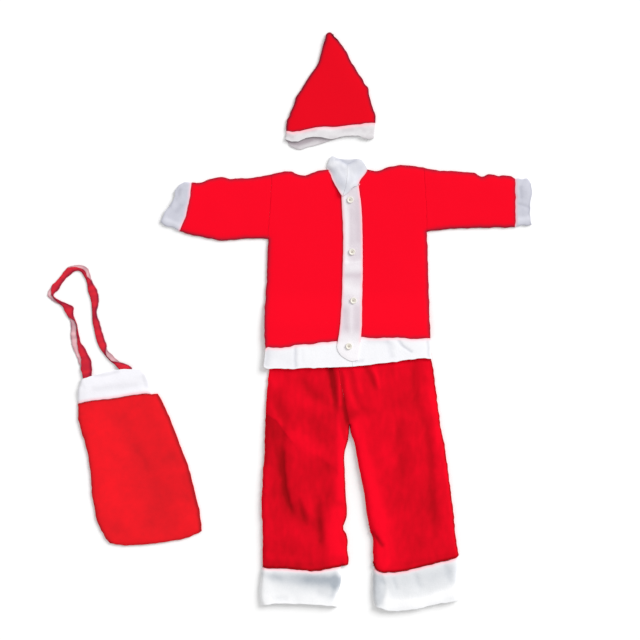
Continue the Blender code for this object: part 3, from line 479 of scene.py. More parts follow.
def edge_distance(x, y, seams):
    """How far each point is from the nearest of the seams."""
    fractions = np.linspace(0, 1, SEAM_POINTS)
    nearest = np.full(np.shape(x), np.inf)
    for rows in seams:
        line = along(rows, fractions)
        start, run = line[:-1], np.diff(line, axis=0)
        away = np.stack([x, y], -1)[..., None, :] - start
        share = np.clip((away * run).sum(-1) / (run**2).sum(-1), 0, 1)
        gaps = np.linalg.norm(away - share[..., None] * run, axis=-1)
        nearest = np.minimum(nearest, gaps.min(-1))
    return nearest


def puffed(x, y, seams, height, roll=ROLL):
    """The rise of an upper layer that is rolled down along the seams."""
    return height * (1 - np.exp(-edge_distance(x, y, seams) / roll))


Edge = namedtuple("Edge", "strength reach seams")


def beside(x, y, *edges):
    """What the strongest of the edges gives at each point: its strength on its seams, falling softly to
    nothing beyond its reach."""
    falls = []
    for edge in edges:
        gaps = edge_distance(x, y, edge.seams)
        falls.append(edge.strength * np.exp(-((gaps / edge.reach) ** 2)))
    return np.max(falls, axis=0)


def waves(x, y, height, size, seed):
    """Soft unevenness, as in cloth smoothed out by hand."""
    places = np.stack([x, y], -1).reshape(-1, 2) / size
    values = [noise.noise((px, py, seed)) for px, py in places]
    return height * np.array(values).reshape(np.shape(x))


ARMHOLE_DIP = Edge(0.04, 2.6, (ARMHOLE_RIGHT, ARMHOLE_LEFT))
# Painted shade along the jacket's edges, at its neck and beside its hem band and placket.
JACKET_EDGE_SHADE = (
    Edge(0.95, 5.8, (SHOULDER_RIGHT, SHOULDER_LEFT, SIDE_RIGHT, SIDE_LEFT)),
    Edge(0.80, 5.6, HEM_SEAMS),
    Edge(0.50, 3.2, (NECK_RIGHT, NECK_LEFT)),
    Edge(0.50, 3.8, (PLACKET_RIGHT, PLACKET_LEFT)),
)


def jacket_puff(x, y):
    return puffed(x, y, JACKET_RIM, PUFF)


def jacket_top(x, y):
    """The outer face of the jacket's upper layer in red knit."""
    rise = jacket_puff(x, y) + waves(x, y, height=0.35, size=70.0, seed=3.1)
    return jacket_lift(y) + 2 * KNIT + SEAM + np.maximum(rise - beside(x, y, ARMHOLE_DIP), 0)


def jacket_shade(x, y):
    """Painted shade: the knit is painted darker along its silhouette, where it turns under, and beside its
    trim.
    """
    return beside(x, y, *JACKET_EDGE_SHADE)


right_grid = patch(
    (SIDE_RIGHT, ARMHOLE_RIGHT), FRONT_EDGE_RIGHT, HEM_SEAM_RIGHT,
    (SHOULDER_RIGHT, NECK_RIGHT, NECK_END_RIGHT), stops(30, 16, 12), stops(76, 46),
)
left_grid = patch(
    FRONT_EDGE_LEFT, (SIDE_LEFT, ARMHOLE_LEFT), HEM_SEAM_LEFT,
    (NECK_END_LEFT, NECK_LEFT, SHOULDER_LEFT), stops(12, 16, 30), stops(76, 46),
)
for name, grid in (("jacket_front_right", right_grid), ("jacket_front_left", left_grid)):
    sheet_of(name, grid, jacket_top, jacket_shade, KNIT, JACKET, jacket_knit)


# ---- Sleeves
# Each sleeve is one piece of knit folded along its top edge and closed under the arm: a flattened tube,
# sewn into the armhole and gathered slightly into its cuff.
CUFF_SEAM_RIGHT = ((-380, 297), (-370, 317), (-359, 356), (-352, 403))
CUFF_SEAM_LEFT = ((358, 305), (359, 360), (358, 413))
CUFF_SEAMS = (CUFF_SEAM_RIGHT, CUFF_SEAM_LEFT)
# Painted shade along the sleeves' edges and beside their cuff seams.
SLEEVE_EDGE_SHADE = (
    Edge(1.00, 5.8, (SLEEVE_RIGHT_LOW, SLEEVE_RIGHT_TOP, SLEEVE_LEFT_LOW, SLEEVE_LEFT_TOP)),
    Edge(0.62, 4.6, CUFF_SEAMS),
)
TURNED_RIM = 0.15
BEND_STEPS = (0, 30, 60, 90)


def tube_columns(across, wall, cells):
    """Fractions across a flattened tube, close together round its two sides."""
    bend = (wall + SEAM / 2) * (1 - np.cos(np.radians(BEND_STEPS))) / across
    middle = np.linspace(bend[-1], 1 - bend[-1], cells + 1)[1:-1]
    return np.concatenate([bend, middle, 1 - bend[::-1]])


def tube_of(
    name, front, back, rise, shade, wall, garment, cloth, rests_on, blush=level(0), inside=level(0),
):
    """A strip closed into a ring and laid flat: over its front, under its back, with round sides. Its
    back's outer face lies on the table, and inside is the shade painted on its wall where the ring's
    inside shows."""
    radius = wall + SEAM / 2
    rows, tones, pinks = [], [], []
    for upper, lower in zip(front, back):
        ring, above, below = [], upper.T, lower[-2:0:-1].T
        for row, side in ((upper, 1), (lower, -1)):
            far = np.concatenate([[0.0], np.cumsum(np.linalg.norm(np.diff(row, axis=0), axis=1))])
            inset = np.minimum(np.minimum(far, far[-1] - far), radius)
            height = radius + side * np.sqrt(radius**2 - (radius - inset) ** 2)
            if side > 0:
                height = height + rise(*above) * inset / radius
            ring.append(np.column_stack([row, height]))
        rows.append(np.concatenate([ring[0], ring[1][-2:0:-1]]))
        tones.append(np.concatenate([shade(*above), inside(*below)]))
        pinks.append(np.concatenate([blush(*above), 0 * below[0]]))
    points = np.array(rows)
    faces = grid_faces(len(points), points.shape[1], around=True)
    order = np.argsort(faces[:, 0] % points.shape[1] >= front.shape[1] - 1, kind="stable")
    piece = cloth_object(
        name, points.reshape(-1, 3), faces[order], np.array(tones).ravel(), np.array(pinks).ravel(), wall,
        TURNED_RIM, garment, cloth,
    )
    width, length, area = cut_size(front)
    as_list(rests_on)
    return piece


def sleeve_rise(x, y):
    rise = jacket_puff(x, y) + waves(x, y, height=0.4, size=45.0, seed=7.7)
    return np.maximum(rise - beside(x, y, ARMHOLE_DIP), 0)


def sleeve_shade(x, y):
    return beside(x, y, *SLEEVE_EDGE_SHADE)


SLEEVES = (
    ("sleeve_right", SLEEVE_RIGHT_LOW, SLEEVE_RIGHT_TOP, ARMHOLE_RIGHT, CUFF_SEAM_RIGHT),
    ("sleeve_left", SLEEVE_LEFT_LOW, SLEEVE_LEFT_TOP, ARMHOLE_LEFT, CUFF_SEAM_LEFT),
)
for name, low, high, armhole, end in SLEEVES:
    grid = patch(low, high, armhole, end, tube_columns(125.0, KNIT, 34), stops(58))
    tube_of(name, grid, grid, sleeve_rise, sleeve_shade, KNIT, JACKET, jacket_knit, ["floor"])


# ---- Sleeve cuffs
# A strip of white fleece closed into a ring and sewn to the end of each sleeve. Its free end is open and
# a little crushed.
CUFF_RIGHT_END = ((-421, 316), (-411, 338), (-400, 354), (-390, 372), (-389, 387))
CUFF_LEFT_END = ((394, 311), (391, 330), (391, 352), (395, 385), (394, 401))
# Painted shade at the cuffs' open ends.
CUFF_END_SHADE = Edge(0.20, 3.0, (CUFF_RIGHT_END, CUFF_LEFT_END))
# In a crease table the tone is painted shade in the hollow, or a painted highlight on a ridge where it is
# negative.
Crease = namedtuple("Crease", "left right height tone path")
# Painted shade in the cuffs' creases, and painted highlights on their ridges.
SLEEVE_CUFF_CREASES = (
    Crease(4.4, 4.4, -0.5, 0.2, ((-378, 387), (-387, 365))),
    Crease(5.7, 5.7, -0.4, 0.16, ((-376, 352), (-387, 339))),
    Crease(6.6, 6.6, 0.5, -0.3, ((-409, 321), (-378, 308))),
    Crease(4.4, 4.4, -0.4, 0.18, ((-394, 383), (-400, 352))),
    Crease(4, 4, -0.5, 0.22, ((370, 392), (372, 370))),
    Crease(3.1, 3.1, -0.5, 0.2, ((367, 357), (389, 348))),
    Crease(6.6, 6.6, 0.5, -0.28, ((365, 321), (392, 324))),
    Crease(3.5, 3.5, -0.4, 0.16, ((392, 354), (389, 335))),
)
CUFF_WHITE = (0.700, 0.705, 0.780)
CUFF_GREY = (0.350, 0.355, 0.425)
PINK = (1.0, 0.46, 0.52)
FLEECE_SHEEN = (1.0, 1.0, 1.0, 1.0)
PILE_TONE = 0.14
CLUMP_TONE = 0.08
PRESSED = -0.4


def creased(x, y, creases):
    """The rise and the painted tone that a table of creases gives: a positive tone is painted shade in a
    hollow, a negative one a painted highlight on a ridge. Each crease falls away from its path
    within its own reach to the left and to the right. A third number at a point of the path says how"""
    rise, tone = np.zeros(np.shape(x)), np.zeros(np.shape(x))
    for crease in creases:
        line = np.array([(*point, 1)[:3] for point in crease.path], float)
        start, run = line[:-1, :2], np.diff(line[:, :2], axis=0)
        away = np.stack([x, y], -1)[..., None, :] - start
        share = np.clip((away * run).sum(-1) / (run**2).sum(-1), 0, 1)
        gaps = np.linalg.norm(away - share[..., None] * run, axis=-1)
        turned = run[:, 0] * away[..., 1] - run[:, 1] * away[..., 0]
        strengths = line[:-1, 2] + share * np.diff(line[:, 2])
        nearest = gaps.argmin(-1)[..., None]
        gap, side, strength = (
            np.take_along_axis(values, nearest, -1)[..., 0] for values in (gaps, turned, strengths)
        )
        reach = np.where(side > 0, crease.left, crease.right)
        fall = strength * np.exp(-((gap / reach) ** 2))
        rise += crease.height * fall
        tone += crease.tone * fall
    return rise, tone


def fleece(name, white, grey, mottle):
    """White fleece: a soft clumped pile, greyer where shade is painted into its hollows and creases, with a
    line of pink where it lies against red."""
    finish = Finish(name, {
        "Specular IOR Level": 0.06, "Sheen Weight": 0.10, "Sheen Roughness": 0.5,
        "Sheen Tint": FLEECE_SHEEN,
    })
    pile = finish.speckle(700.0, 4.0, 0.7)
    clumps = finish.node(
        "ShaderNodeTexVoronoi", {"Vector": finish.place, "Scale": 300.0}, {"feature": "SMOOTH_F1"},
    )
    cloud = finish.speckle(55.0, 2.0, 0.5)
    # The shade attribute is painted shade; the cloud, pile and clumps add random tone.
    depth = finish.painted("shade") + (cloud - 0.5) * mottle
    depth = depth + (pile - 0.5) * PILE_TONE + (clumps - 0.4) * CLUMP_TONE
    colour = finish.blend(finish.node("ShaderNodeClamp", {"Value": depth}), white, grey)
    colour = finish.blend(finish.painted("blush"), colour, PINK)
    height = pile * 0.6 - clumps * 0.4
    bump = finish.node("ShaderNodeBump", {"Strength": 0.5, "Distance": 0.0006, "Height": height})
    return finish.feed(Base_Color=colour, Roughness=0.86 + pile * 0.12, Normal=bump)


class Trim:
    """White fleece trim: how it puffs up, how uneven and how creased it is, how grey it is, with painted
    shade in its creases and painted highlights on its ridges, how its seam draws it down, and how the red
    cloth shows through along that seam."""

    def __init__(self, puff, uneven, creases, tone, dip, blush):
        self.puff, self.uneven, self.creases = puff, uneven, creases
        self.tone, self.dip, self.blush = tone, dip, blush

    def rise(self, x, y, lowest=PRESSED):
        rise = self.puff(x, y) + waves(x, y, **self.uneven) + creased(x, y, self.creases)[0]
        return np.maximum(rise - beside(x, y, self.dip), lowest)

    def shade(self, x, y):
        return self.tone + creased(x, y, self.creases)[1]

    def pink(self, x, y):
        return beside(x, y, self.blush)


sleeve_cuff = Trim(
    jacket_puff, {"height": 0.6, "size": 18.0, "seed": 2.4}, SLEEVE_CUFF_CREASES, tone=0.42,
    dip=Edge(0.9, 3.5, CUFF_SEAMS), blush=Edge(0.70, 3.4, CUFF_SEAMS),
)


def sleeve_cuff_shade(x, y):
    return sleeve_cuff.shade(x, y) + beside(x, y, CUFF_END_SHADE)


sleeve_cuff_fleece = fleece("sleeve_cuff_fleece", CUFF_WHITE, CUFF_GREY, mottle=0.30)
SLEEVE_CUFFS = (
    ("sleeve_cuff_right", CUFF_RIGHT_LOW, CUFF_RIGHT_TOP, CUFF_SEAM_RIGHT, CUFF_RIGHT_END),
    ("sleeve_cuff_left", CUFF_LEFT_LOW, CUFF_LEFT_TOP, CUFF_SEAM_LEFT, CUFF_LEFT_END),
)
for name, low, high, seam, end in SLEEVE_CUFFS:
    grid = patch(low, high, seam, end, tube_columns(92.0, FLEECE, 40), stops(18))
    tube_of(
        name, grid, grid, sleeve_cuff.rise, sleeve_cuff_shade, FLEECE, JACKET, sleeve_cuff_fleece,
        ["floor"], sleeve_cuff.pink,
    )


# ---- Hem band
# White fleece round the bottom of the jacket, a back strip and two front strips, with a few soft creases
# across it. It lies over the waist of the trousers.
HEM_EDGE_RIGHT = (
    (-194.5, 3), (-193.5, -2), (-189, -4.7), (-170, -5.3), (-100, -4.4), (-50, -2.6), (0, -0.8),
)
HEM_END_RIGHT = ((0, -0.8), (0, 57))
HEM_EDGE_LEFT = (
    (0, -0.8), (30, 2), (50, 4.6), (72, 7), (94, 9.4), (114, 12.6), (142, 16.8), (160, 17), (174, 15.5),
)
HEM_END_LEFT = ((0, -0.8), (0, 66))
BACK_HEM_EDGE = ((-194.5, 3), (-60, 0), (0, 3), (60, 9), (114, 14), (146, 18), (174, 15.5))
# Painted shade in the hem band's creases.
HEM_CREASES = (
    Crease(2.9, 3.3, -0.8, 0.42, ((-125, 46), (-124, 0, 0.8))),
    Crease(8.8, 8.8, -0.3, 0.22, ((-185, 35), (-189, 5))),
    Crease(17.6, 17.6, -0.2, 0.1, ((-169, 27), (-136, 9))),
    Crease(6.6, 6.6, -0.5, 0.18, ((77, 53), (86, 22))),
    Crease(6.6, 6.6, -0.3, 0.16, ((35, 55), (75, 53))),
    Crease(2.9, 2.9, -1, 0.5, ((102, 56, 0.8), (114, 42), (130, 32, 0.8))),
    Crease(3.3, 3.3, -0.5, 0.26, ((165, 55), (167, 22))),
    Crease(3.1, 3.1, -0.4, 0.26, ((7, 10), (22, 12))),
    Crease(3.3, 3.3, -0.3, 0.08, ((-110, 35), (-108, 9))),
    Crease(4.4, 4.4, -0.3, 0.12, ((84, 49), (90, 40))),
)
HEM_WHITE = (0.875, 0.875, 0.900)
HEM_GREY = (0.42, 0.43, 0.50)


hem = Trim(
    jacket_puff, {"height": 0.4, "size": 30.0, "seed": 5.5}, HEM_CREASES, tone=0.06,
    dip=Edge(0.7, 3.0, HEM_SEAMS), blush=Edge(0.85, 4.4, HEM_SEAMS),
)


def hem_top(x, y):
    return jacket_lift(y) + 2 * FLEECE + SEAM + hem.rise(x, y, lowest=0)


hem_fleece = fleece("hem_fleece", HEM_WHITE, HEM_GREY, mottle=0.10)
hem_back_grid = patch(HEM_SIDE_RIGHT, HEM_SIDE_LEFT, BACK_HEM_EDGE, BACK_HEM_SEAM, stops(44), stops(8))
sheet_of(
    "hem_back", hem_back_grid, lambda x, y: jacket_lift(y) + FLEECE, level(0), FLEECE, JACKET, hem_fleece,
)
HEM_FRONTS = (
    ("hem_front_right", HEM_SIDE_RIGHT, HEM_END_RIGHT, HEM_EDGE_RIGHT, HEM_SEAM_RIGHT),
    ("hem_front_left", HEM_END_LEFT, HEM_SIDE_LEFT, HEM_EDGE_LEFT, HEM_SEAM_LEFT),
)
for name, left, right, edge, seam in HEM_FRONTS:
    grid = patch(left, right, edge, seam, stops(70), stops(24))
    sheet_of(name, grid, hem_top, hem.shade, FLEECE, JACKET, hem_fleece, hem.pink, rim=0.4)


# ---- Placket
# A strip of white fleece down the centre front, sewn over both fronts. Its lower end is rounded and lies
# on the hem band, and its upper end lies under the collar.
PLACKET_TONGUE = ((-34, 42), (-28, 28), (-17, 18), (0, 11), (14, 14))
PLACKET_TOP = ((-24, 374), (-10, 390), (4, 401), (14, 402))
PLACKET_STEP = (74, 60)
OVER_THE_HEM = (88, 42)
PLACKET_WALL = 1.4
PLACKET_TONE = 0.66
PALER_ON_THE_HEM = 0.58
PLACKET_SIDES = (PLACKET_RIGHT, PLACKET_LEFT)
PLACKET_ROLL = Edge(0.35, 2.0, PLACKET_SIDES)
TONGUE_ROLL = Edge(0.42, 4.5, (PLACKET_TONGUE,))
# Painted shade along the edge of the placket's tongue.
TONGUE_EDGE_SHADE = Edge(0.10, 2.6, (PLACKET_TONGUE,))
PLACKET_PINK = Edge(0.80, 3.6, PLACKET_SIDES)
PINK_STEP = (40, 70)
PLACKET_CREASES = (
    Crease(7.5, 4.8, 0.3, -0.4, ((-17, 370), (-13, 310), (-13, 255), (-14, 229))),
    Crease(13.2, 13.2, 0.2, -0.34, ((-13, 216), (13, 218))),
    Crease(6.6, 6.6, -0.3, 0.24, ((-15, 199), (18, 199))),
    Crease(17.6, 16.5, 0.2, -0.42, ((-15, 174), (11, 165))),
    Crease(8.8, 8.8, 0.1, -0.16, ((-15, 141), (13, 139))),
    Crease(10.1, 6.6, -0.3, 0.2, ((-17, 121), (-14, 84))),
    Crease(4.8, 4.8, 0.2, -0.2, ((-2, 137), (-3, 75))),
    Crease(8.8, 8.8, -0.3, 0.14, ((9, 128), (10, 84))),
    Crease(3.3, 3.3, -0.3, 0.12, ((-4, 343), (-4, 266))),
    Crease(9.9, 8.8, -0.3, 0.18, ((11, 359), (13, 277))),
    Crease(2.2, 2.2, 0.2, -0.18, ((-18, 228), (18, 229))),
)
PLACKET_WHITE = (0.885, 0.865, 0.890)
PLACKET_GREY = (0.585, 0.500, 0.555)


def placket_under(x, y):
    """Where the placket's underside lies: on the fronts, then on the thicker hem band."""
    lap = 2 * KNIT + SEAM + LAY + 2 * (FLEECE - KNIT) * step(y, *PLACKET_STEP)
    return jacket_lift(y) + lap + jacket_puff(x, y)


def placket_top(x, y):
    folds = creased(x, y, PLACKET_CREASES)[0] + waves(x, y, height=0.4, size=26.0, seed=9.3)
    rolls = beside(x, y, PLACKET_ROLL) + beside(x, y, TONGUE_ROLL)
    return placket_under(x, y) + PLACKET_WALL + folds - rolls


def placket_shade(x, y):
    """Grey between the red fronts, and white where it lies on the hem band, with painted shade in its
    creases and along its tongue's edge, and painted highlights on its ridges.
    """
    folds = creased(x, y, PLACKET_CREASES)[1] + beside(x, y, TONGUE_EDGE_SHADE)
    return PLACKET_TONE - PALER_ON_THE_HEM * step(y, *OVER_THE_HEM) + folds


def placket_pink(x, y):
    return beside(x, y, PLACKET_PINK) * step(y, *PINK_STEP)


placket_fleece = fleece("placket_fleece", PLACKET_WHITE, PLACKET_GREY, mottle=0.16)
placket_grid = patch(PLACKET_RIGHT, PLACKET_LEFT, PLACKET_TONGUE, PLACKET_TOP, stops(20), stops(150))
sheet_of(
    "placket", placket_grid, placket_top, placket_shade, PLACKET_WALL, JACKET, placket_fleece,
    placket_pink, rim=0.6,
)


# ---- Collar
# A turned-down collar in white fleece: a stand at the back of the neck, and two front ends that meet at
# the throat and lie over the top of the placket.
COLLAR_FOLD_RIGHT = ((-55, 432), (-54.5, 441), (-52, 450), (-47, 460))
COLLAR_TOP_RIGHT = ((-47, 460), (-43, 461.5), (-33, 457), (-11, 442))
COLLAR_MEETING = ((-22, 372), (-16, 387), (-12, 410), (-11, 442))
COLLAR_END_LEFT = ((-22, 372), (-8, 382), (3, 393), (15, 397))
COLLAR_TOP_LEFT = ((-11, 442), (6, 451), (13.5, 455.3), (20.5, 453.5))
COLLAR_FOLD_LEFT = ((35.5, 432), (31, 439.3), (26.7, 445.5), (20.5, 453.5))
COLLAR_BACK_TOP = ((-47, 460), (-43, 461), (-33, 457.5), (0, 455), (13.5, 455.8), (20.5, 453.5))
COLLAR_RIM = (COLLAR_FOLD_RIGHT, COLLAR_TOP_RIGHT, COLLAR_TOP_LEFT, COLLAR_FOLD_LEFT)
COLLAR_PUFF = 1.5
COLLAR_STEP = (432, 398)
COLLAR_CLIMB = 5.8
NECK_ROLL = Edge(3.2, 8.0, (NECK_RIGHT, NECK_LEFT))
NECK_ROLL_STEP = (376, 392)
COLLAR_END_ROLL = Edge(1.2, 5.0, (COLLAR_END_LEFT,))
COLLAR_PINK = Edge(0.75, 3.2, (NECK_RIGHT, NECK_LEFT))
COLLAR_TONE = 0.64
COLLAR_CREASES = (
    Crease(7.5, 7.5, -0.6, 0.24, ((-43, 429, 0.7), (-31, 414), (-25, 403), (-20, 392, 0.5))),
    Crease(7.5, 7.5, 0.5, -0.3, ((-46, 442), (-34, 446))),
    Crease(4.4, 4.4, 0.4, -0.22, ((-20, 441), (-19, 439))),
    Crease(3.3, 3.3, 0.2, -0.16, ((-10, 434), (-10, 409))),
    Crease(7.7, 7.7, 0.2, -0.12, ((-7, 427), (4, 416))),
    Crease(3.3, 3.3, -0.5, 0.3, ((-35, 453), (-22, 453))),
    Crease(4.8, 4.8, -0.7, 0.32, ((-20, 450), (-6, 446), (4, 451))),
    Crease(7.7, 7.7, -0.3, 0.1, ((18, 436), (13, 409))),
    Crease(4, 4, 0.3, -0.18, ((-4, 394), (4, 402))),
    Crease(4.4, 4.4, 0.2, -0.16, ((-31, 396), (-15, 374))),
    Crease(6.6, 6.6, -0.3, 0.18, ((7, 387), (9, 379))),
    Crease(3.5, 3.5, 0.2, -0.12, ((-31, 434), (-22, 418))),
)
COLLAR_WHITE = (0.880, 0.880, 0.900)
COLLAR_GREY = (0.520, 0.530, 0.600)


def collar_top(x, y):
    """The front ends lie on the back stand, and climb over the placket toward the throat."""
    fold = 2 * FLEECE + SEAM + puffed(x, y, COLLAR_RIM, COLLAR_PUFF) + creased(x, y, COLLAR_CREASES)[0]
    fold -= beside(x, y, NECK_ROLL) * step(y, *NECK_ROLL_STEP) + beside(x, y, COLLAR_END_ROLL)
    return fold + waves(x, y, height=0.3, size=16.0, seed=1.8) + COLLAR_CLIMB * step(y, *COLLAR_STEP)


# Painted shade in the collar's creases and painted highlights on its ridges, over its grey tone.
def collar_shade(x, y):
    return COLLAR_TONE + creased(x, y, COLLAR_CREASES)[1]


def collar_pink(x, y):
    return beside(x, y, COLLAR_PINK)


collar_fleece = fleece("collar_fleece", COLLAR_WHITE, COLLAR_GREY, mottle=0.16)
stand_grid = patch(COLLAR_FOLD_RIGHT, COLLAR_FOLD_LEFT, BACK_NECK, COLLAR_BACK_TOP, stops(24), stops(8))
sheet_of("collar_back", stand_grid, level(FLEECE), collar_shade, FLEECE, JACKET, collar_fleece)
COLLAR_END_SEAMS = (COLLAR_END_LEFT, NECK_LEFT)
COLLAR_ENDS = (
    ("collar_right", COLLAR_FOLD_RIGHT, COLLAR_MEETING, NECK_RIGHT, COLLAR_TOP_RIGHT, stops(20)),
    ("collar_left", COLLAR_MEETING, COLLAR_FOLD_LEFT, COLLAR_END_SEAMS, COLLAR_TOP_LEFT, stops(14, 14)),
)
for name, left, right, low, high, columns in COLLAR_ENDS:
    grid = patch(left, right, low, high, columns, stops(30))
    sheet_of(
        name, grid, collar_top, collar_shade, FLEECE, JACKET, collar_fleece, collar_pink,
    )


# ---- Buttons
# Four cream sew-through buttons down the placket, moulded with a raised rim and four holes, each sewn on
# with two bars of thread.
BUTTON_COUNT = 4
BUTTON_RADIUS = 0.0070
BUTTON_THICKNESS = 0.0026
BUTTON_RIM = 0.0019
BUTTON_DISH = 0.0008
DISH_SLOPE = 0.0006
BUTTON_EDGE = 0.0005
BUTTON_SINK = 0.0006
HOLE_RADIUS = 0.0007
HOLE_ASIDE = 0.0014
DRILL_LENGTH = 0.01
# Painted shade in the button's dish: its middle is painted darker, toward a shaded cream.
DISH_SHADE_RADIUS = 0.0048
DISH_SHADE_TONE = 0.7
BAR_RADIUS = 0.00042
BAR_SINK = 0.0007
CREAM = (0.800, 0.770, 0.695)
CREAM_SHADED = (0.610, 0.560, 0.490)
THREAD_PALE = (0.70, 0.61, 0.54)
THREAD_DEEP = (0.52, 0.44, 0.37)

button_finish = Finish("button_cream", {"Roughness": 0.35, "Specular IOR Level": 0.4})
button_swirl = button_finish.speckle(420.0, 3.0, 0.6)
button_depth = button_finish.painted("shade") + (button_swirl - 0.5) * 0.3
button_depth = button_finish.node("ShaderNodeClamp", {"Value": button_depth})
button_colour = button_finish.blend(button_depth, CREAM, CREAM_SHADED)
button_cream = button_finish.feed(Base_Color=button_colour, Roughness=0.28 + button_swirl * 0.2)

thread_finish = Finish("button_thread", {"Specular IOR Level": 0.1, "Roughness": 0.8})
thread_twist = thread_finish.node(
    "ShaderNodeTexWave", {"Vector": thread_finish.place, "Scale": 900.0}, {"bands_direction": "DIAGONAL"},
    output="Fac",
)
button_thread = thread_finish.feed(Base_Color=thread_finish.blend(thread_twist, THREAD_PALE, THREAD_DEEP))

for number in range(1, BUTTON_COUNT + 1):
    name = f"button_{number}"
    low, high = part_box(name)
    middle_x, middle_y = (low.x + high.x) / 2, (low.y + high.y) / 2
    foot = low.z - BUTTON_SINK
    bpy.ops.mesh.primitive_cylinder_add(
        vertices=40, radius=BUTTON_RADIUS, depth=BUTTON_THICKNESS,
        location=(middle_x, middle_y, foot + BUTTON_THICKNESS / 2),
    )
    button = bpy.context.object
    bpy.ops.object.transform_apply(location=True, rotation=True, scale=True)
    bpy.ops.object.mode_set(mode="EDIT")
    disc = bmesh.from_edit_mesh(button.data)
    bpy.ops.mesh.select_mode(type="FACE")
    bpy.ops.mesh.select_all(action="DESELECT")
    for face in disc.faces:
        face.select = face.normal.z > 0.9
    bmesh.update_edit_mesh(button.data)
    bpy.ops.mesh.inset(thickness=BUTTON_RIM)
    bpy.ops.mesh.inset(thickness=DISH_SLOPE, depth=-BUTTON_DISH)
    bpy.ops.object.mode_set(mode="OBJECT")
    edge = button.modifiers.new("edge", "BEVEL")
    edge.width = BUTTON_EDGE
    edge.segments = 3
    edge.limit_method = "ANGLE"
    edge.angle_limit = math.radians(40)
    bpy.ops.object.modifier_apply(modifier="edge")
    for across in (-HOLE_ASIDE, HOLE_ASIDE):
        for up in (-HOLE_ASIDE, HOLE_ASIDE):
            bpy.ops.mesh.primitive_cylinder_add(
                vertices=16, radius=HOLE_RADIUS, depth=DRILL_LENGTH,
                location=(middle_x + across, middle_y + up, foot + BUTTON_THICKNESS / 2),
            )
            drill = bpy.context.object
            bpy.ops.object.select_all(action="DESELECT")
            bpy.context.view_layer.objects.active = button
            hole = button.modifiers.new("hole", "BOOLEAN")
            hole.object = drill
            bpy.ops.object.modifier_apply(modifier="hole")
            bpy.data.objects.remove(drill)
    # Painted shade: darkest in the middle of the dish, fading out toward its rim.
    tone = button.data.attributes.new("shade", "FLOAT", "POINT")
    reach = [math.hypot(v.co.x - middle_x, v.co.y - middle_y) for v in button.data.vertices]
    tone.data.foreach_set("value", [max(0.0, 1 - (r / DISH_SHADE_RADIUS) ** 2) * DISH_SHADE_TONE for r in reach])
    button.name = f"{name}_moulded"
    button.data.materials.append(button_cream)
    button.data.shade_smooth()
    button.data.set_sharp_from_angle(angle=math.radians(35))
    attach(button, "root")
    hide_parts(name)
    for letter, across in (("a", -HOLE_ASIDE), ("b", HOLE_ASIDE)):
        bpy.ops.mesh.primitive_torus_add(
            major_radius=HOLE_ASIDE, minor_radius=BAR_RADIUS, major_segments=24, minor_segments=8,
            location=(middle_x + across, middle_y, foot + BUTTON_THICKNESS - BUTTON_DISH - BAR_SINK),
            rotation=(0, math.radians(90), 0),
        )
        bar = bpy.context.object
        bpy.ops.object.transform_apply(location=True, rotation=True, scale=True)
        bar.name = f"{name}_thread_{letter}"
        bar.data.materials.append(button_thread)
        bar.data.shade_smooth()
        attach(bar, "root")
        bpy.ops.object.select_all(action="DESELECT")


# ---- Trousers
# Four leg pieces of the same brushed knit, joined by a centre seam and closed inside and outside the leg.
# The fronts are rumpled, the right leg most, and the waist lies under the jacket.
TROUSERS = Garment(131.0, -227.0, 0.0)
LEG_OUTER_RIGHT = (
    (-191, -310.4), (-191.4, -231), (-193.4, -165.1), (-191.6, -121.1), (-186.9, -55), (-185.8, 0),
)
HIP_RIGHT = ((-185.8, 0), (-180, 87.8), (-176, 129.8), (-168, 178))
LEG_INNER_RIGHT = (
    (-3, -306), (-1.7, -293), (-5, -275), (-4.1, -252.8), (-7.6, -237.4), (-14.7, -227.3),
    (-10.6, -213.9), (-6.2, -200.3), (-5.6, -187), (-7.5, -164.9), (-10.3, -99), (-10.9, -60.4),
    (-3.5, -33.8), (0, 0),
)
CENTRE_SEAM = ((0, 0), (-9, 43), (-23, 125), (-27, 178))
LEG_END_RIGHT = (
    (-191, -310.4), (-182, -312.5), (-164, -313), (-142, -313.5), (-120, -315.4), (-98, -317.7),
    (-76, -318.5), (-60, -316.3), (-43, -313), (-21, -309.5), (-3, -306),
)
LEG_OUTER_LEFT = ((240, -286), (234.3, -249), (224.3, -155.9), (217, -103), (207.2, -36.8), (200, 0))
HIP_LEFT = ((200, 0), (190, 77), (184, 121), (172, 178))
LEG_INNER_LEFT = (
    (53, -304), (52.1, -292), (51.4, -263.8), (51.5, -249.1), (49.6, -237.4), (44.7, -226.4),
    (40.6, -209.4), (37.6, -191.4), (34.3, -165.2), (30.9, -143.4), (26.4, -121.4), (21.9, -99.4),
    (15.6, -66.4), (10.8, -39.4), (4.6, -22.6), (0, 0),
)
LEG_END_LEFT = (
    (53, -304), (54.5, -311), (59, -317.5), (67, -321), (85, -322), (107, -321), (133, -316),
    (166, -307.5), (199, -299), (221, -294), (234, -290), (240, -286),
)
WAIST_SEAM_RIGHT = ((-168, 178), (-27, 178))
WAIST_SEAM_LEFT = ((-27, 178), (172, 178))
WAIST_EDGE = ((-158, 203), (0, 205), (162, 203))
WAIST_SIDE_RIGHT = ((-168, 178), (-158, 203))
WAIST_SIDE_LEFT = ((172, 178), (162, 203))
LEG_CUFF_OUTER_RIGHT = (
    (-192, -311), (-195, -328), (-197.5, -350), (-198, -372), (-196.5, -386), (-194, -393),
)
LEG_CUFF_INNER_RIGHT = (
    (-18, -309.9), (-18.6, -326), (-18.8, -341), (-21, -354), (-25.5, -368), (-26.8, -382),
    (-24.5, -397.6),
)
LEG_CUFF_INNER_LEFT = ((54, -312), (52, -322), (51, -340), (51, -372), (52.5, -385), (55, -393))
LEG_CUFF_OUTER_LEFT = ((240, -287), (238, -321), (240, -354), (242, -383))
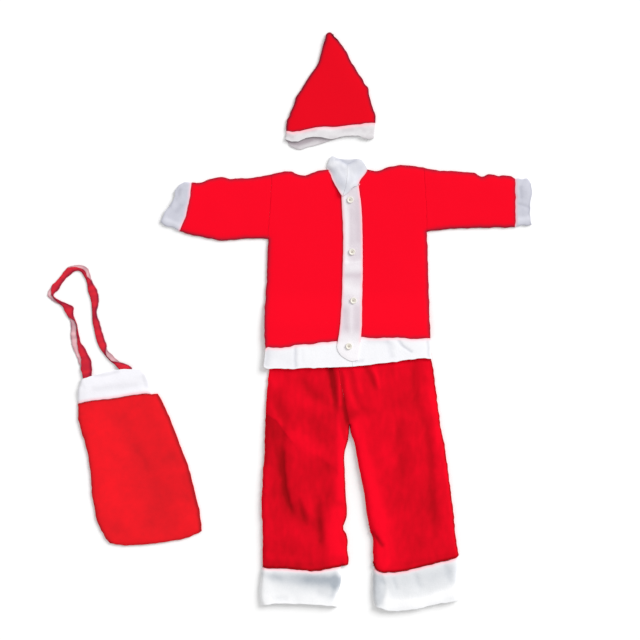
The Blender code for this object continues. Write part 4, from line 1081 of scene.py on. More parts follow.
TROUSER_RIM = (
    LEG_OUTER_RIGHT, HIP_RIGHT, LEG_INNER_RIGHT, LEG_OUTER_LEFT, HIP_LEFT, LEG_INNER_LEFT,
    WAIST_SIDE_RIGHT, WAIST_SIDE_LEFT, LEG_CUFF_OUTER_RIGHT, LEG_CUFF_INNER_RIGHT,
    LEG_CUFF_OUTER_LEFT, LEG_CUFF_INNER_LEFT,
)
UNDER_THE_HEM = (122, 104)
# Painted shade in the trousers' hollows and painted highlights on their ridges; a lighter strip is painted
# just under the jacket's hem, against its shadow.
TROUSER_CREASES = (
    Crease(5.3, 10.1, -2.6, 0.72, ((-40, 130, 1.1), (-36, 99), (-32, 60, 0.8), (-30, 27, 0.3))),
    Crease(9.9, 6.6, -0.8, 0.26, ((-48, 128), (-44, 104, 0.7), (-41, 73, 0.4))),
    Crease(3.5, 3.5, 1.1, -0.12, ((-24, 124), (-23, 66), (-23, 33, 0.5))),
    Crease(5.3, 6.6, -1.6, 0.7, ((-18, 117, 0.35), (-14, 71, 0.6), (-10, 31), (-6, 9), (-5, -6, 0.5))),
    Crease(12.3, 12.3, -1.2, 0.34, ((-111, 117, 0.3), (-100, 93, 0.8), (-76, 67), (-54, 53, 0.8))),
    Crease(11, 11.9, -1.4, 0.34, ((-151, 86, 0.35), (-158, 62, 0.7), (-151, 40), (-138, 14, 0.9),
        (-127, -6, 0.5))),
    Crease(2, 33, -0.9, 0.34, ((-183, 23), (-164, 10), (-144, -14, 0.9))),
    Crease(6.6, 6.6, 0.6, -0.1, ((-174, 47), (-155, 5, 0.7))),
    Crease(22, 22, -0.5, 0.24, ((-166, -24), (-164, -81), (-168, -154, 0.7), (-160, -213, 0.3))),
    Crease(5.8, 8.4, -2.4, 0.54, ((-144.5, -8, 0.4), (-145, -55, 0.7), (-146, -103, 0.85),
        (-142, -136, 0.9), (-135, -163, 1.1), (-129, -179, 0.8), (-123, -192, 0.2))),
    Crease(10, 15.4, -0.5, 0.16, ((-146, -66), (-144, -147), (-129, -190, 0.7))),
    Crease(13.2, 13.2, -0.8, 0.24, ((-116, -178), (-107, -206, 0.8))),
    Crease(6.2, 5.2, -1.4, 0.42, ((-110, -165, 0.4), (-105, -184), (-100, -200, 0.9), (-97, -216, 0.4))),
    Crease(22, 22, -0.5, 0.24, ((-89, 20, 0.8), (-63, -8), (-45, -26, 0.8))),
    Crease(5.7, 13.2, -1.2, 0.24, ((-74, -70, 0.5), (-54, -85), (-32, -99, 0.6))),
    Crease(13.2, 13.2, -0.4, 0.13, ((-58, -103), (-52, -151))),
    Crease(6.6, 6.2, -1.6, 0.34, ((-69, -160, 0.4), (-68, -198, 0.8), (-65, -231), (-64, -253, 0.7))),
    Crease(15.4, 11, -0.3, 0.2, ((-65, -176), (-64, -253))),
    Crease(8.4, 7.9, 0.9, -0.4, ((-22, 25, 0.7), (-21, -33), (-21, -99), (-24, -160, 1.1))),
    Crease(16.5, 15.4, 1.2, -0.42, ((-29, -191), (-33, -231, 1.15), (-32, -272))),
    Crease(11, 11, 0.3, -0.12, ((-182, -99), (-183, -242))),
    Crease(22, 19.8, 0.8, -0.17, ((-118, -26), (-78, -63))),
    Crease(17.6, 17.6, 0.4, -0.12, ((-111, 55), (-74, 29))),
    Crease(15.4, 15.4, 0.3, -0.1, ((-173, 97), (-122, 75))),
    Crease(26.4, 15.4, -0.3, 0.12, ((-164, -277), (-109, -275), (-61, -279))),
    Crease(28.6, 28.6, -0.3, 0.12, ((-107, -94), (-83, -147))),
    Crease(13.2, 13.2, 0.2, -0.1, ((-96, -158), (-89, -187))),
    Crease(5.7, 7.5, -1.6, 0.42, ((36, 128, 0.8), (46, 108, 0.8), (52, 93), (55, 82, 0.6))),
    Crease(4.4, 4.4, 0.8, -0.24, ((53, 130), (60, 104), (65, 84, 0.8))),
    Crease(5.3, 5.3, 0.7, -0.22, ((12, 124), (16, 99, 0.8), (25, 75))),
    Crease(5.7, 5.7, 0.5, -0.14, ((-11, 121), (-3, 77), (8, 40))),
    Crease(7, 7, -0.8, 0.18, ((5, 117, 0.7), (10, 73), (25, 38))),
    Crease(9.9, 9.9, -0.8, 0.2, ((3, 21), (27, 29, 0.7), (67, 33, 0.3))),
    Crease(12.3, 11, -1.6, 0.3, ((142, 137, 0.7), (142, 108, 0.8), (144, 73, 0.7), (150, 44, 0.8),
        (157, 20, 0.7), (168, -6), (174, -41), (179, -94, 1.1), (179, -154, 0.9), (184, -198, 0.8),
        (188, -242, 0.5))),
    Crease(14.3, 14.3, -1.2, 0.24, ((110, 3), (109, -19), (110, -55, 0.6), (115, -99, 0.6))),
    Crease(19.8, 19.8, -0.5, 0.13, ((93, 42), (133, 39))),
    Crease(8.4, 8.8, 0.8, -0.14, ((170, 135), (179, 55), (192, -33, 0.6))),
    Crease(20.9, 19.8, 1, -0.34, ((16, -6, 0.8), (36, -99), (54, -165, 1.1), (74, -253, 1.1), (78, -297))),
    Crease(30.8, 30.8, -0.3, 0.13, ((120, -99), (131, -209), (137, -270, 0.7))),
    Crease(22, 22, -0.3, 0.12, ((173, -176), (164, -253, 0.8))),
    Crease(15.4, 15.4, 0.3, -0.12, ((76, -44), (89, -81))),
    Crease(5, 5, -1.7, 0.75, ((53, -236, 0.5), (60, -247), (70, -263, 0.8))),
    Crease(14, 14, -0.3, 0.11, ((-135, -66, 0.8), (-132, -121), (-122, -160))),
    Crease(16, 16, -0.3, 0.16, ((-142, -187, 0.8), (-109, -204), (-80, -220))),
    Crease(9, 9, -0.3, 0.14, ((-171, 55, 0.8), (-157, 29), (-144, 0))),
    Crease(10, 10, -0.2, 0.10, ((-113, -15), (-87, -17), (-61, -33, 0.8))),
    Crease(12, 12, -0.3, 0.15, ((-69, 16, 0.8), (-43, 20), (-25, 11))),
    Crease(6, 6, -0.3, 0.30, ((-21, 38, 0.7), (-17, 0), (-10, -28, 0.9))),
    Crease(10, 10, 0.3, -0.16, ((-155, 0), (-155, -33))),
    Crease(5.5, 5.5, 0.3, -0.18, ((-46, 118), (-41, 52))),
    Crease(9, 9, 0.2, -0.16, ((4, -2), (12, -44), (21, -94, 0.8))),
    Crease(11, 11, 0.3, -0.22, ((186, -11, 0.8), (190, -66), (195, -110, 0.8))),
    Crease(24, 24, 0.2, -0.09, ((89, -204), (166, -231))),
    Crease(22, 22, 0.2, -0.09, ((111, 11), (177, 44))),
    Crease(11, 11, -0.2, 0.34, ((-179, -302, 0.7), (-109, -308), (-60, -306, 0.8))),
    Crease(7, 7, -0.2, 0.14, ((122, -305), (177, -294), (232, -281))),
    Crease(5.5, 5.5, 0.1, -0.20, ((-175, 124), (-21, 126), (27, 126), (100, 133, 0.8), (177, 142, 0.5))),
    Crease(9, 9, -0.2, 0.10, ((-45, -88), (-54, -138), (-45, -180))),
    Crease(10, 10, 0.2, -0.09, ((-47, -231), (-47, -275))),
    Crease(5, 5, 0.1, -0.15, ((-146, 0, 0.8), (-143, -40), (-140, -84), (-138, -110, 0.6))),
    Crease(12, 12, -0.2, 0.10, ((-150, -260, 0.8), (-120, -285), (-80, -290))),
    Crease(8, 8, -0.2, 0.10, ((-28, -150), (-30, -200), (-30, -250, 0.8))),
)
# Painted shade along the legs' sides and ends.
TROUSER_EDGE_SHADE = (
    Edge(-0.20, 3.8, (LEG_OUTER_RIGHT, HIP_RIGHT, LEG_INNER_LEFT)),
    Edge(1.00, 3.0, (LEG_INNER_RIGHT, LEG_OUTER_LEFT, HIP_LEFT)),
    Edge(0.85, 4.4, (LEG_END_RIGHT, LEG_END_LEFT)),
)
LEG_PUFF = 7.5
LEG_ROLL = 3.5
LEG_HEADROOM = 1.6
LEG_STEP = (122, -20)
TROUSER_TONE = 0.33
LONG_CLOUDS = 0.6
SHORT_CLOUDS = 0.4
TROUSER_BRIGHT = (0.885, 0.0022, 0.0170)
TROUSER_DEEP = (0.300, 0.0022, 0.0050)


def leg_rise(x, y):
    """Low under the jacket and fuller down the legs."""
    low = puffed(x, y, TROUSER_RIM, WAIST_PUFF)
    return low + step(y, *LEG_STEP) * (puffed(x, y, TROUSER_RIM, LEG_PUFF, LEG_ROLL) - low)


def trouser_top(x, y):
    """Rumpled from the hem of the jacket down, and smooth under it."""
    shown = step(y, *UNDER_THE_HEM)
    folds = creased(x, y, TROUSER_CREASES)[0]
    rise = leg_rise(x, y) + np.minimum(folds, folds * shown)
    rise += shown * waves(x, y, height=0.7, size=42.0, seed=4.2)
    rise += shown * waves(x, y, height=0.25, size=14.0, seed=6.1)
    most = WAIST_PUFF + (LEG_PUFF - WAIST_PUFF) * step(y, *LEG_STEP) + LEG_HEADROOM * shown
    return 2 * KNIT + SEAM + np.clip(rise, 0, most)


def trouser_shade(x, y):
    """Painted shade: dark along the sides turned to the lamp and at the leg ends, and in its folds, over
    random clouds of tone.
    """
    clouds = waves(x, LONG_CLOUDS * y, height=0.11, size=30.0, seed=31.7)
    clouds += waves(x, SHORT_CLOUDS * y, height=0.13, size=9.0, seed=40.2)
    return TROUSER_TONE + creased(x, y, TROUSER_CREASES)[1] + clouds + beside(x, y, *TROUSER_EDGE_SHADE)


trouser_knit = brushed_knit("trouser_knit", TROUSER_BRIGHT, TROUSER_DEEP, mottle=0.20)
LEGS = (
    ("right", (LEG_OUTER_RIGHT, HIP_RIGHT), (LEG_INNER_RIGHT, CENTRE_SEAM), LEG_END_RIGHT,
     WAIST_SEAM_RIGHT),
    ("left", (LEG_INNER_LEFT, CENTRE_SEAM), (LEG_OUTER_LEFT, HIP_LEFT), LEG_END_LEFT, WAIST_SEAM_LEFT),
)
for side, left, right, end, waist in LEGS:
    back = patch(left, right, end, waist, stops(22), stops(34, 20))
    sheet_of(f"trouser_back_{side}", back, level(KNIT), level(0), KNIT, TROUSERS, trouser_knit)
    front = patch(left, right, end, waist, stops(84), stops(150, 80))
    sheet_of(
        f"trouser_front_{side}", front, trouser_top, trouser_shade, KNIT, TROUSERS, trouser_knit,
    )


# ---- Waistband
# A casing of knit sewn round the top of the trousers, front on back. It lies under the jacket and carries
# its hem.
waistband_grid = patch(
    WAIST_SIDE_RIGHT, WAIST_SIDE_LEFT, (WAIST_SEAM_RIGHT, WAIST_SEAM_LEFT), WAIST_EDGE,
    stops(30, 30), stops(8),
)


def waistband_top(x, y):
    return 2 * KNIT + SEAM + puffed(x, y, TROUSER_RIM, WAIST_PUFF)


WAISTBANDS = (("back", level(KNIT), "floor"), ("front", waistband_top, "waistband_back"))
for side, top, below in WAISTBANDS:
    sheet_of(f"waistband_{side}", waistband_grid, top, level(0), KNIT, TROUSERS, trouser_knit)


# ---- Trouser cuffs
# A deep ring of white fleece sewn to the end of each leg. It is drawn in under the knit's edge and fuller
# below, and its free end is open.
LEG_CUFF_SEAM_RIGHT = (
    (-192, -311), (-182, -313.2), (-164, -313.7), (-142, -314.2), (-120, -316.1), (-98, -318.4),
    (-76, -319.2), (-60, -317), (-43, -313.7), (-18, -309.9),
)
LEG_CUFF_EDGE_RIGHT = (
    (-194, -393), (-188, -393.5), (-164, -390.5), (-109, -391.6), (-70, -393), (-45, -395.2),
    (-24.5, -397.6),
)
LEG_CUFF_SEAM_LEFT = (
    (54, -312), (59, -318.3), (67, -321.8), (85, -322.8), (107, -321.8), (133, -316.8), (166, -308.3),
    (199, -299.8), (221, -294.8), (240, -287),
)
LEG_CUFF_EDGE_LEFT = (
    (55, -393), (64, -399), (76, -403.5), (94, -406), (110, -406.5), (130, -404.5), (155, -400.5),
    (188, -392.5), (215, -387.5), (242, -383),
)
# Painted shade across the top of each cuff, under the leg's edge, and in its creases; painted highlights on
# its ridges.
LEG_CUFF_CREASES = (
    Crease(14, 18, -0.5, 0.88, ((-164, -330, 0.45), (-142, -332, 0.55), (-116, -333, 0.7),
        (-94, -335, 0.95), (-69, -336, 0.95), (-50, -337), (-34, -339, 1.1), (-22, -341))),
    Crease(19.8, 19.8, -0.4, 0.22, ((-131, -347, 0.6), (-83, -354, 0.9), (-39, -362))),
    Crease(7.5, 7.5, -0.6, 0.30, ((-32, -326, 0.8), (-31, -347, 1.1), (-36, -372, 0.8))),
    Crease(7, 8.8, -0.4, 0.3, ((-193, -325), (-153, -334, 0.8))),
    Crease(19.8, 19.8, -0.2, 0.07, ((-186, -352), (-109, -378))),
    Crease(6.6, 6.6, -0.4, 0.12, ((-164, -379), (-142, -379))),
    Crease(8.8, 8.8, -0.3, 0.14, ((-65, -367), (-41, -376))),
    Crease(66, 66, -0.2, 0.2, ((100, -363), (221, -330))),
    Crease(4, 12.1, -0.8, 0.32, ((67, -325, 0.8), (77, -347), (76, -367, 0.8), (69, -387, 0.4))),
    Crease(11, 11, -0.3, 0.4, ((56, -332), (57, -363), (63, -389, 0.6))),
    Crease(19.8, 26.4, -0.3, 0.22, ((85, -336), (166, -330), (234, -314))),
    Crease(4.4, 4.4, -0.4, 0.14, ((96, -336), (104, -358))),
    Crease(6.2, 6.2, -0.4, 0.12, ((144, -327), (155, -354))),
    Crease(7, 7, -0.4, 0.16, ((212, -310), (221, -341))),
    Crease(9.9, 9.9, 0.4, -0.3, ((85, -391), (155, -387), (232, -360))),
    Crease(7.7, 7.7, 0.3, -0.2, ((76, -354), (85, -380))),
)
LEG_CUFF_WHITE = (0.900, 0.900, 0.910)
LEG_CUFF_GREY = (0.370, 0.405, 0.450)
LEG_CUFF_SEAMS = (LEG_CUFF_SEAM_RIGHT, LEG_CUFF_SEAM_LEFT)

leg_cuff = Trim(
    leg_rise, {"height": 0.6, "size": 30.0, "seed": 8.8}, LEG_CUFF_CREASES, tone=0.04,
    dip=Edge(1.0, 5.0, LEG_CUFF_SEAMS), blush=Edge(0.95, 4.2, LEG_CUFF_SEAMS),
)
leg_cuff_fleece = fleece("leg_cuff_fleece", LEG_CUFF_WHITE, LEG_CUFF_GREY, mottle=0.14)
LEG_CUFFS = (
    ("right", LEG_CUFF_OUTER_RIGHT, LEG_CUFF_INNER_RIGHT, LEG_CUFF_SEAM_RIGHT, LEG_CUFF_EDGE_RIGHT),
    ("left", LEG_CUFF_INNER_LEFT, LEG_CUFF_OUTER_LEFT, LEG_CUFF_SEAM_LEFT, LEG_CUFF_EDGE_LEFT),
)
for side, left, right, seam, edge in LEG_CUFFS:
    grid = patch(left, right, seam, edge, tube_columns(180.0, FLEECE, 64), stops(32))
    tube_of(
        f"trouser_cuff_{side}", grid, grid, leg_cuff.rise, leg_cuff.shade, FLEECE, TROUSERS,
        leg_cuff_fleece, ["floor"], leg_cuff.pink,
    )


# ---- Hat
# Two tapering pieces of knit, front on back, sewn together down both sides to a soft point. It has no
# lining.
HAT = Garment(90.0, 420.0, 0.0)
HAT_PUFF = 1.6
HAT_RIGHT = (
    (-99, -1), (-98.2, 15.5), (-90.3, 36.8), (-82.5, 56.3), (-76.1, 75.3), (-66.2, 89.4), (-60.5, 100.5),
    (-50.6, 115.4), (-39.9, 130.9), (-27.7, 149.7), (-25.2, 157.9), (-23, 168), (-20, 178.4),
    (-17, 189.4), (-12.9, 199.9), (-11.8, 207),
)
HAT_LEFT = (
    (98, 18), (99.5, 31), (92.6, 48.9), (87.9, 66), (84.6, 79.1), (81.6, 94.2), (72.8, 105.9), (68, 117),
    (58.7, 128.1), (51.1, 142), (41.3, 158.2), (36.9, 169.2), (30.8, 178.4), (27.1, 185), (21, 191.9),
    (15.4, 200.3), (9.2, 205.5), (4.5, 211.5),
)
HAT_TIP = ((-11.8, 207), (-10.5, 211.5), (-7.5, 215.2), (-3.5, 216.9), (0.5, 216), (4.5, 211.5))
HAT_SEAM = ((-99, -1), (-72, -1), (-46, 5), (-21, 9), (11, 9), (46, 13), (98, 18))
HAT_BAND_RIGHT = ((-99, -1), (-101, -18))
HAT_BAND_LEFT = ((98, 18), (95, -16))
HAT_RIM = (HAT_RIGHT, HAT_TIP, HAT_LEFT, HAT_BAND_RIGHT, HAT_BAND_LEFT)
# Painted shade along the hat's sides and tip, and beside its band seam.
HAT_EDGE_SHADE = (Edge(1.15, 4.9, (HAT_RIGHT, HAT_TIP, HAT_LEFT)), Edge(0.65, 3.8, (HAT_SEAM,)))
HAT_BRIGHT = (0.745, 0.0024, 0.0125)
HAT_DEEP = (0.210, 0.0090, 0.0250)


def hat_puff(x, y):
    return puffed(x, y, HAT_RIM, HAT_PUFF)


def hat_top(x, y):
    return 2 * KNIT + SEAM + np.maximum(hat_puff(x, y) + waves(x, y, height=0.5, size=55.0, seed=12.3), 0)


def hat_shade(x, y):
    return beside(x, y, *HAT_EDGE_SHADE)


hat_knit = brushed_knit("hat_knit", HAT_BRIGHT, HAT_DEEP, mottle=0.08)
hat_back_grid = patch(HAT_RIGHT, HAT_LEFT, HAT_SEAM, HAT_TIP, stops(26), stops(30))
hat_front_grid = patch(HAT_RIGHT, HAT_LEFT, HAT_SEAM, HAT_TIP, stops(60), stops(80))
sheet_of("hat_back", hat_back_grid, level(KNIT), level(0), KNIT, HAT, hat_knit)
sheet_of("hat_front", hat_front_grid, hat_top, hat_shade, KNIT, HAT, hat_knit)


# ---- Hat band
# A ring of white fleece sewn round the hat's opening. Its back hangs lower at one end, where its inside
# shows.
HAT_BAND_FRONT = (
    (-101, -18), (-90, -23), (-72, -23), (-54, -16), (-24, -14), (0, -18), (28, -12), (56, -11),
    (84, -18), (95, -16),
)
HAT_BAND_BACK = (
    (-101, -18), (-93, -27), (-85, -36), (-74, -40), (-42, -33), (-21, -28), (2, -20), (28, -14),
    (56, -13), (95, -16),
)
# Painted shade in the hat band's creases, and painted highlights on its ridges.
HAT_BAND_CREASES = (
    Crease(4.4, 4.4, -0.3, 0.30, ((64, -15), (79, -19), (95, -16))),
    Crease(5.3, 5.3, -0.4, 0.2, ((27, 0), (46, 2))),
    Crease(5.3, 5.3, -0.4, 0.2, ((-57, -2), (-37, 2))),
    Crease(5.3, 5.3, -0.4, 0.26, ((-97, -9), (-86, -15))),
    Crease(7.7, 7.7, -0.3, 0.14, ((68, 5), (88, 0))),
    Crease(4, 4, -0.4, 0.16, ((-2, -15), (11, -17))),
    Crease(4.4, 4.4, 0.3, -0.14, ((-28, 5), (-2, 0))),
)
# Painted shade inside the ring: darkest just under the front's lower edge, with one lighter streak.
HAT_BAND_INSIDE_SHADES = (
    Crease(3.5, 3.5, 0, 0.4, ((-94, -23), (-81, -28), (-61, -26), (-44, -19))),
    Crease(5.5, 5.5, 0, 0.2, ((-68, -20), (-20, -15))),
    Crease(4.4, 4.4, 0, -0.22, ((-68, -37), (-28, -26))),
)
HAT_BAND_WHITE = (0.850, 0.840, 0.850)
HAT_BAND_GREY = (0.400, 0.350, 0.380)
BLOTCH_STEP = (40, 70)
# The inside wall carries painted shade, less of it toward the band's far end.
INSIDE_SHADE_TONE = 0.72
INSIDE_SHADE_FADE = 0.55
INSIDE_STEP = (5, 30)

hat_band = Trim(
    hat_puff, {"height": 0.5, "size": 20.0, "seed": 14.9}, HAT_BAND_CREASES, tone=0.30,
    dip=Edge(0.9, 3.5, (HAT_SEAM,)), blush=Edge(0.95, 5.0, (HAT_SEAM,)),
)


def hat_band_shade(x, y):
    blotches = waves(x, y, height=0.22, size=9.0, seed=33.6) * step(x, *BLOTCH_STEP)
    return hat_band.shade(x, y) + blotches


def hat_band_inside_shade(x, y):
    return INSIDE_SHADE_TONE + creased(x, y, HAT_BAND_INSIDE_SHADES)[1] - INSIDE_SHADE_FADE * step(x, *INSIDE_STEP)


hat_band_fleece = fleece("hat_band_fleece", HAT_BAND_WHITE, HAT_BAND_GREY, mottle=0.22)
hat_band_grids = [
    patch(HAT_BAND_RIGHT, HAT_BAND_LEFT, HAT_SEAM, edge, tube_columns(198.0, FLEECE, 70), stops(14))
    for edge in (HAT_BAND_FRONT, HAT_BAND_BACK)
]
tube_of(
    "hat_band", *hat_band_grids, hat_band.rise, hat_band_shade, FLEECE, HAT, hat_band_fleece, ["floor"],
    hat_band.pink, hat_band_inside_shade,
)


# ---- Sack
# Two pieces of the same knit, front on back, sewn together round three sides. It is empty and lies at a
# slant beside the jacket.
SACK = Garment(-375.0, -169.5, 13.7)
SACK_RIGHT = (
    (-96, -303), (-107.5, -269.8), (-109.4, -207), (-98.1, -126), (-95.9, -72), (-98.2, -26), (-91, 12),
)
SACK_LEFT = (
    (107, -325), (112.8, -285), (112.5, -235.1), (112.4, -186.2), (104.3, -121.1), (97.4, -64.9),
    (89.9, -26), (85, -9),
)
SACK_SEAM = ((-91, 12), (-64, 11), (-20, 5), (50, -1), (85, -9))
SACK_FOOT = ((-96, -303), (-79.6, -310), (-23.9, -323.2), (32.9, -329.7), (75.1, -331.2), (107, -325))
SACK_BAND_RIGHT = ((-90, 12.7), (-84, 38), (-71, 62))
SACK_BAND_LEFT = ((72, -4.7), (74, 29), (71, 50))
SACK_RIM = (SACK_RIGHT, SACK_LEFT, SACK_FOOT, SACK_BAND_RIGHT, SACK_BAND_LEFT)
# Painted shade in the sack's creases, and painted highlights on its ridges.
SACK_CREASES = (
    Crease(37.4, 37.4, 0.42, -0.12, ((-60, -44), (-61, -134), (-69, -212))),
    Crease(24.2, 28.6, -0.85, 0.15, ((-8, -57, 0.4), (5, -103, 0.7), (18, -143), (26, -185),
        (28, -222, 0.8), (23, -261, 0.8))),
    Crease(5.7, 8.8, -0.51, 0.082, ((6, -108, 0.6), (18, -136), (24, -166, 0.8))),
    Crease(26.4, 26.4, -0.42, 0.11, ((66, -86, 0.5), (57, -197), (52, -275))),
    Crease(15.4, 15.4, -0.51, 0.082, ((54, -22), (50, -60, 0.8))),
    Crease(11, 11, -0.51, 0.14, ((79, -146), (91, -169))),
    Crease(13.2, 13.2, -0.42, 0.15, ((101, -203), (97, -248))),
    Crease(17.6, 17.6, -0.34, 0.095, ((-83, -272), (-60, -289))),
    Crease(13.2, 13.2, -0.42, 0.082, ((-6, -288), (42, -298))),
    Crease(11, 11, 0.42, -0.082, ((-41, -246), (-56, -272))),
    Crease(13.2, 13.2, 0.34, -0.082, ((55, -260), (84, -254))),
    Crease(15.4, 15.4, 0.34, -0.082, ((79, -293), (87, -318))),
    Crease(15.4, 15.4, -0.26, 0.068, ((-21, -26), (2, -59))),
    Crease(17.6, 17.6, 0.34, -0.082, ((-36, -79), (-20, -122))),
    Crease(13.2, 13.2, 0.34, -0.082, ((42, -166, 0.6), (52, -191))),
)
SACK_PUFF = 2.2
# Painted shade along the sack's edges and beside its band seam.
SACK_LEFT_SHADE = Edge(0.95, 5.4, (SACK_LEFT,))
SACK_FOOT_SHADE = Edge(0.50, 4.4, (SACK_FOOT,))
SACK_RIGHT_SHADE = Edge(0.60, 5.2, (SACK_RIGHT,))
SACK_SEAM_SHADE = Edge(0.60, 3.6, (SACK_SEAM,))
SACK_TONE = 0.20
SACK_BRIGHT = (0.860, 0.0105, 0.0185)
SACK_DEEP = (0.330, 0.0110, 0.0150)


def sack_top(x, y):
    rise = puffed(x, y, SACK_RIM, SACK_PUFF) + creased(x, y, SACK_CREASES)[0]
    return 2 * KNIT + SEAM + np.maximum(rise + waves(x, y, height=0.4, size=50.0, seed=17.0), 0)


def sack_shade(x, y):
    rim = beside(x, y, SACK_LEFT_SHADE) + beside(x, y, SACK_FOOT_SHADE) + beside(x, y, SACK_RIGHT_SHADE)
    clouds = waves(x, y, height=0.09, size=24.0, seed=22.9) + waves(x, y, height=0.07, size=9.0, seed=27.3)
    lines = np.maximum(rim, beside(x, y, SACK_SEAM_SHADE))
    return SACK_TONE + creased(x, y, SACK_CREASES)[1] + clouds + lines


sack_knit = brushed_knit("sack_knit", SACK_BRIGHT, SACK_DEEP, mottle=0.24)
sack_back_grid = patch(SACK_RIGHT, SACK_LEFT, SACK_FOOT, SACK_SEAM, stops(26), stops(40))
sack_front_grid = patch(SACK_RIGHT, SACK_LEFT, SACK_FOOT, SACK_SEAM, stops(64), stops(104))
sheet_of("bag_back", sack_back_grid, level(KNIT), level(0), KNIT, SACK, sack_knit)
sheet_of("bag_front", sack_front_grid, sack_top, sack_shade, KNIT, SACK, sack_knit)


# ---- Sack band
# A ring of white fleece sewn round the sack's mouth, fuller toward its open edge. It holds the two ends
# of the strap.
SACK_BAND_SEAM = ((-90, 12.7), (-64, 11.7), (-20, 5.7), (50, -0.3), (72, -4.7))
SACK_MOUTH = ((-71, 62), (-22, 65), (12, 64), (71, 50))
MOUTH_PUFF, MOUTH_ROLL = 4.8, 2.2
MOUTH_STEP = (12, 44)
SACK_BAND_CREASES = (
    Crease(3.1, 3.1, -0.5, 0.2, ((-40, 62), (-16, 58), (11, 59))),
    Crease(5.5, 5.5, -0.4, 0.22, ((64, 37), (65, 14))),
    Crease(6.6, 6.6, -0.3, 0.12, ((-47, 34), (-3, 28), (40, 22))),
    Crease(4.4, 4.4, -0.3, 0.12, ((-72, 54), (-70, 42))),
)
SACK_BAND_WHITE = (0.880, 0.870, 0.915)
SACK_BAND_GREY = (0.450, 0.450, 0.500)


def mouth_puff(x, y):
    low = puffed(x, y, SACK_RIM, SACK_PUFF)
    return low + step(y, *MOUTH_STEP) * (puffed(x, y, SACK_RIM, MOUTH_PUFF, MOUTH_ROLL) - low)


sack_band = Trim(
    mouth_puff, {"height": 0.3, "size": 28.0, "seed": 19.4}, SACK_BAND_CREASES, tone=0.08,
    dip=Edge(0.9, 3.5, (SACK_BAND_SEAM,)), blush=Edge(0.80, 4.2, (SACK_BAND_SEAM,)),
)
sack_band_fleece = fleece("sack_band_fleece", SACK_BAND_WHITE, SACK_BAND_GREY, mottle=0.10)
sack_band_grid = patch(
    SACK_BAND_RIGHT, SACK_BAND_LEFT, SACK_BAND_SEAM, SACK_MOUTH,
    tube_columns(155.0, FLEECE, 52), stops(22),
)
tube_of(
    "bag_band", sack_band_grid, sack_band_grid, sack_band.rise, sack_band.shade, FLEECE, SACK,
    sack_band_fleece, ["floor"], sack_band.pink,
)


# ---- Strap
# A strip of the same knit with raw edges, folded along its length and sewn into the mouth of the sack at
# both ends. Where it twists, its upper layer covers less of the lower one and its pale back shows.
Station = namedtuple("Station", "outer_x outer_y inner_x inner_y cover lift", defaults=(1, 0))
STRAP = (
    Station(-65.9, 41, -48.5, 42.6, 1, 2.15), Station(-66.2, 54.6, -46.8, 56.2, 1, 2.15),
    Station(-66.9, 66.6, -45.6, 68.4, 1, 2.15), Station(-67.4, 81, -42.5, 79.4, 1, 1.5),
    Station(-67.1, 93.4, -40.7, 91.4, 0.9, 0.5), Station(-68.4, 105, -41.7, 103, 0.76),
    Station(-70.1, 116.7, -44.7, 113.9, 0.68), Station(-71.7, 128.4, -47.1, 126.7, 0.63),
    Station(-72.7, 140, -52.0, 138.2, 0.47), Station(-72.5, 151.3, -53.4, 148.9, 0.35),
    Station(-71.2, 162.3, -53.0, 159.2, 0.30), Station(-68.1, 172.9, -52.4, 170.4, 0.22),
    Station(-64.9, 182.3, -51.7, 181.8, 0.15), Station(-63.9, 191, -52.9, 191.2, 0.32),
    Station(-65.6, 198.3, -53.8, 200.6, 0.82), Station(-69, 208.2, -52.5, 210.2),
    Station(-71.4, 218.9, -50.9, 219.4), Station(-72.8, 227, -55.5, 227.3),
    Station(-76.5, 231.5, -68.2, 235.8), Station(-83.6, 237.8, -77.6, 243.6, 0.8),
    Station(-91.6, 244.9, -84.2, 250.1, 0.45), Station(-97.3, 252, -86.5, 254.3, 0.35),
    Station(-99.5, 259.8, -85.6, 257.3, 0.4), Station(-96.4, 266.7, -81.1, 260.7, 0.55),
    Station(-91, 272.2, -75.8, 263.9, 0.85), Station(-84.7, 277.9, -69.9, 267.9),
    Station(-77, 283.3, -65, 273.1), Station(-68.9, 288.7, -58.8, 279.9),
    Station(-60.7, 294.5, -51.5, 285.6), Station(-53.3, 300.8, -43.5, 288.7),
    Station(-46.4, 306.6, -36.2, 292.8), Station(-37.6, 309.2, -30.9, 296, 0.88),
    Station(-27.6, 309.3, -24.9, 296.4, 0.78), Station(-16.8, 307.3, -19.3, 295, 0.6),
    Station(-7.4, 303.2, -15, 290.3, 0.58), Station(-0.6, 295.9, -12.3, 282.9, 0.58),
    Station(1.7, 284.9, -9.6, 273.6, 0.48), Station(1.9, 272.6, -9.2, 264, 0.88),
    Station(4.9, 258.8, -10.1, 254.7), Station(9, 246, -10.7, 245.8), Station(9.4, 232.8, -9.6, 234.7),
    Station(7.2, 220.1, -9.6, 223.4), Station(2.7, 209, -11, 212.4), Station(-2.4, 199, -12.8, 201.9),
    Station(-4.2, 188.1, -15.4, 189.4), Station(-2.7, 177.3, -17.6, 176.8),
    Station(-2, 163.5, -18, 163.8), Station(-1.5, 148.9, -18.2, 149.4),
    Station(-0.3, 133.7, -18.2, 134.4), Station(0.9, 120.7, -15.9, 121.6),
    Station(-1.2, 113.1, -12.8, 111.8, 0.9), Station(1.7, 106.5, -9, 103.2, 0.45),
    Station(8.2, 97.6, -3.9, 92.9, 0.16), Station(12.4, 88.9, 0.9, 84.5, 0.3),
    Station(18.6, 81.1, 6.9, 77.6, 0.8, 0.9), Station(29.1, 74, 11.1, 70.7, 1, 2),
    Station(43.4, 60.1, 14.8, 61.6, 1, 2.15), Station(39.1, 48, 14.8, 50.3, 1, 2.15),
    Station(33.1, 32.7, 13.6, 36.1, 1, 2.15),
)
STRAP_WALL = 1.2
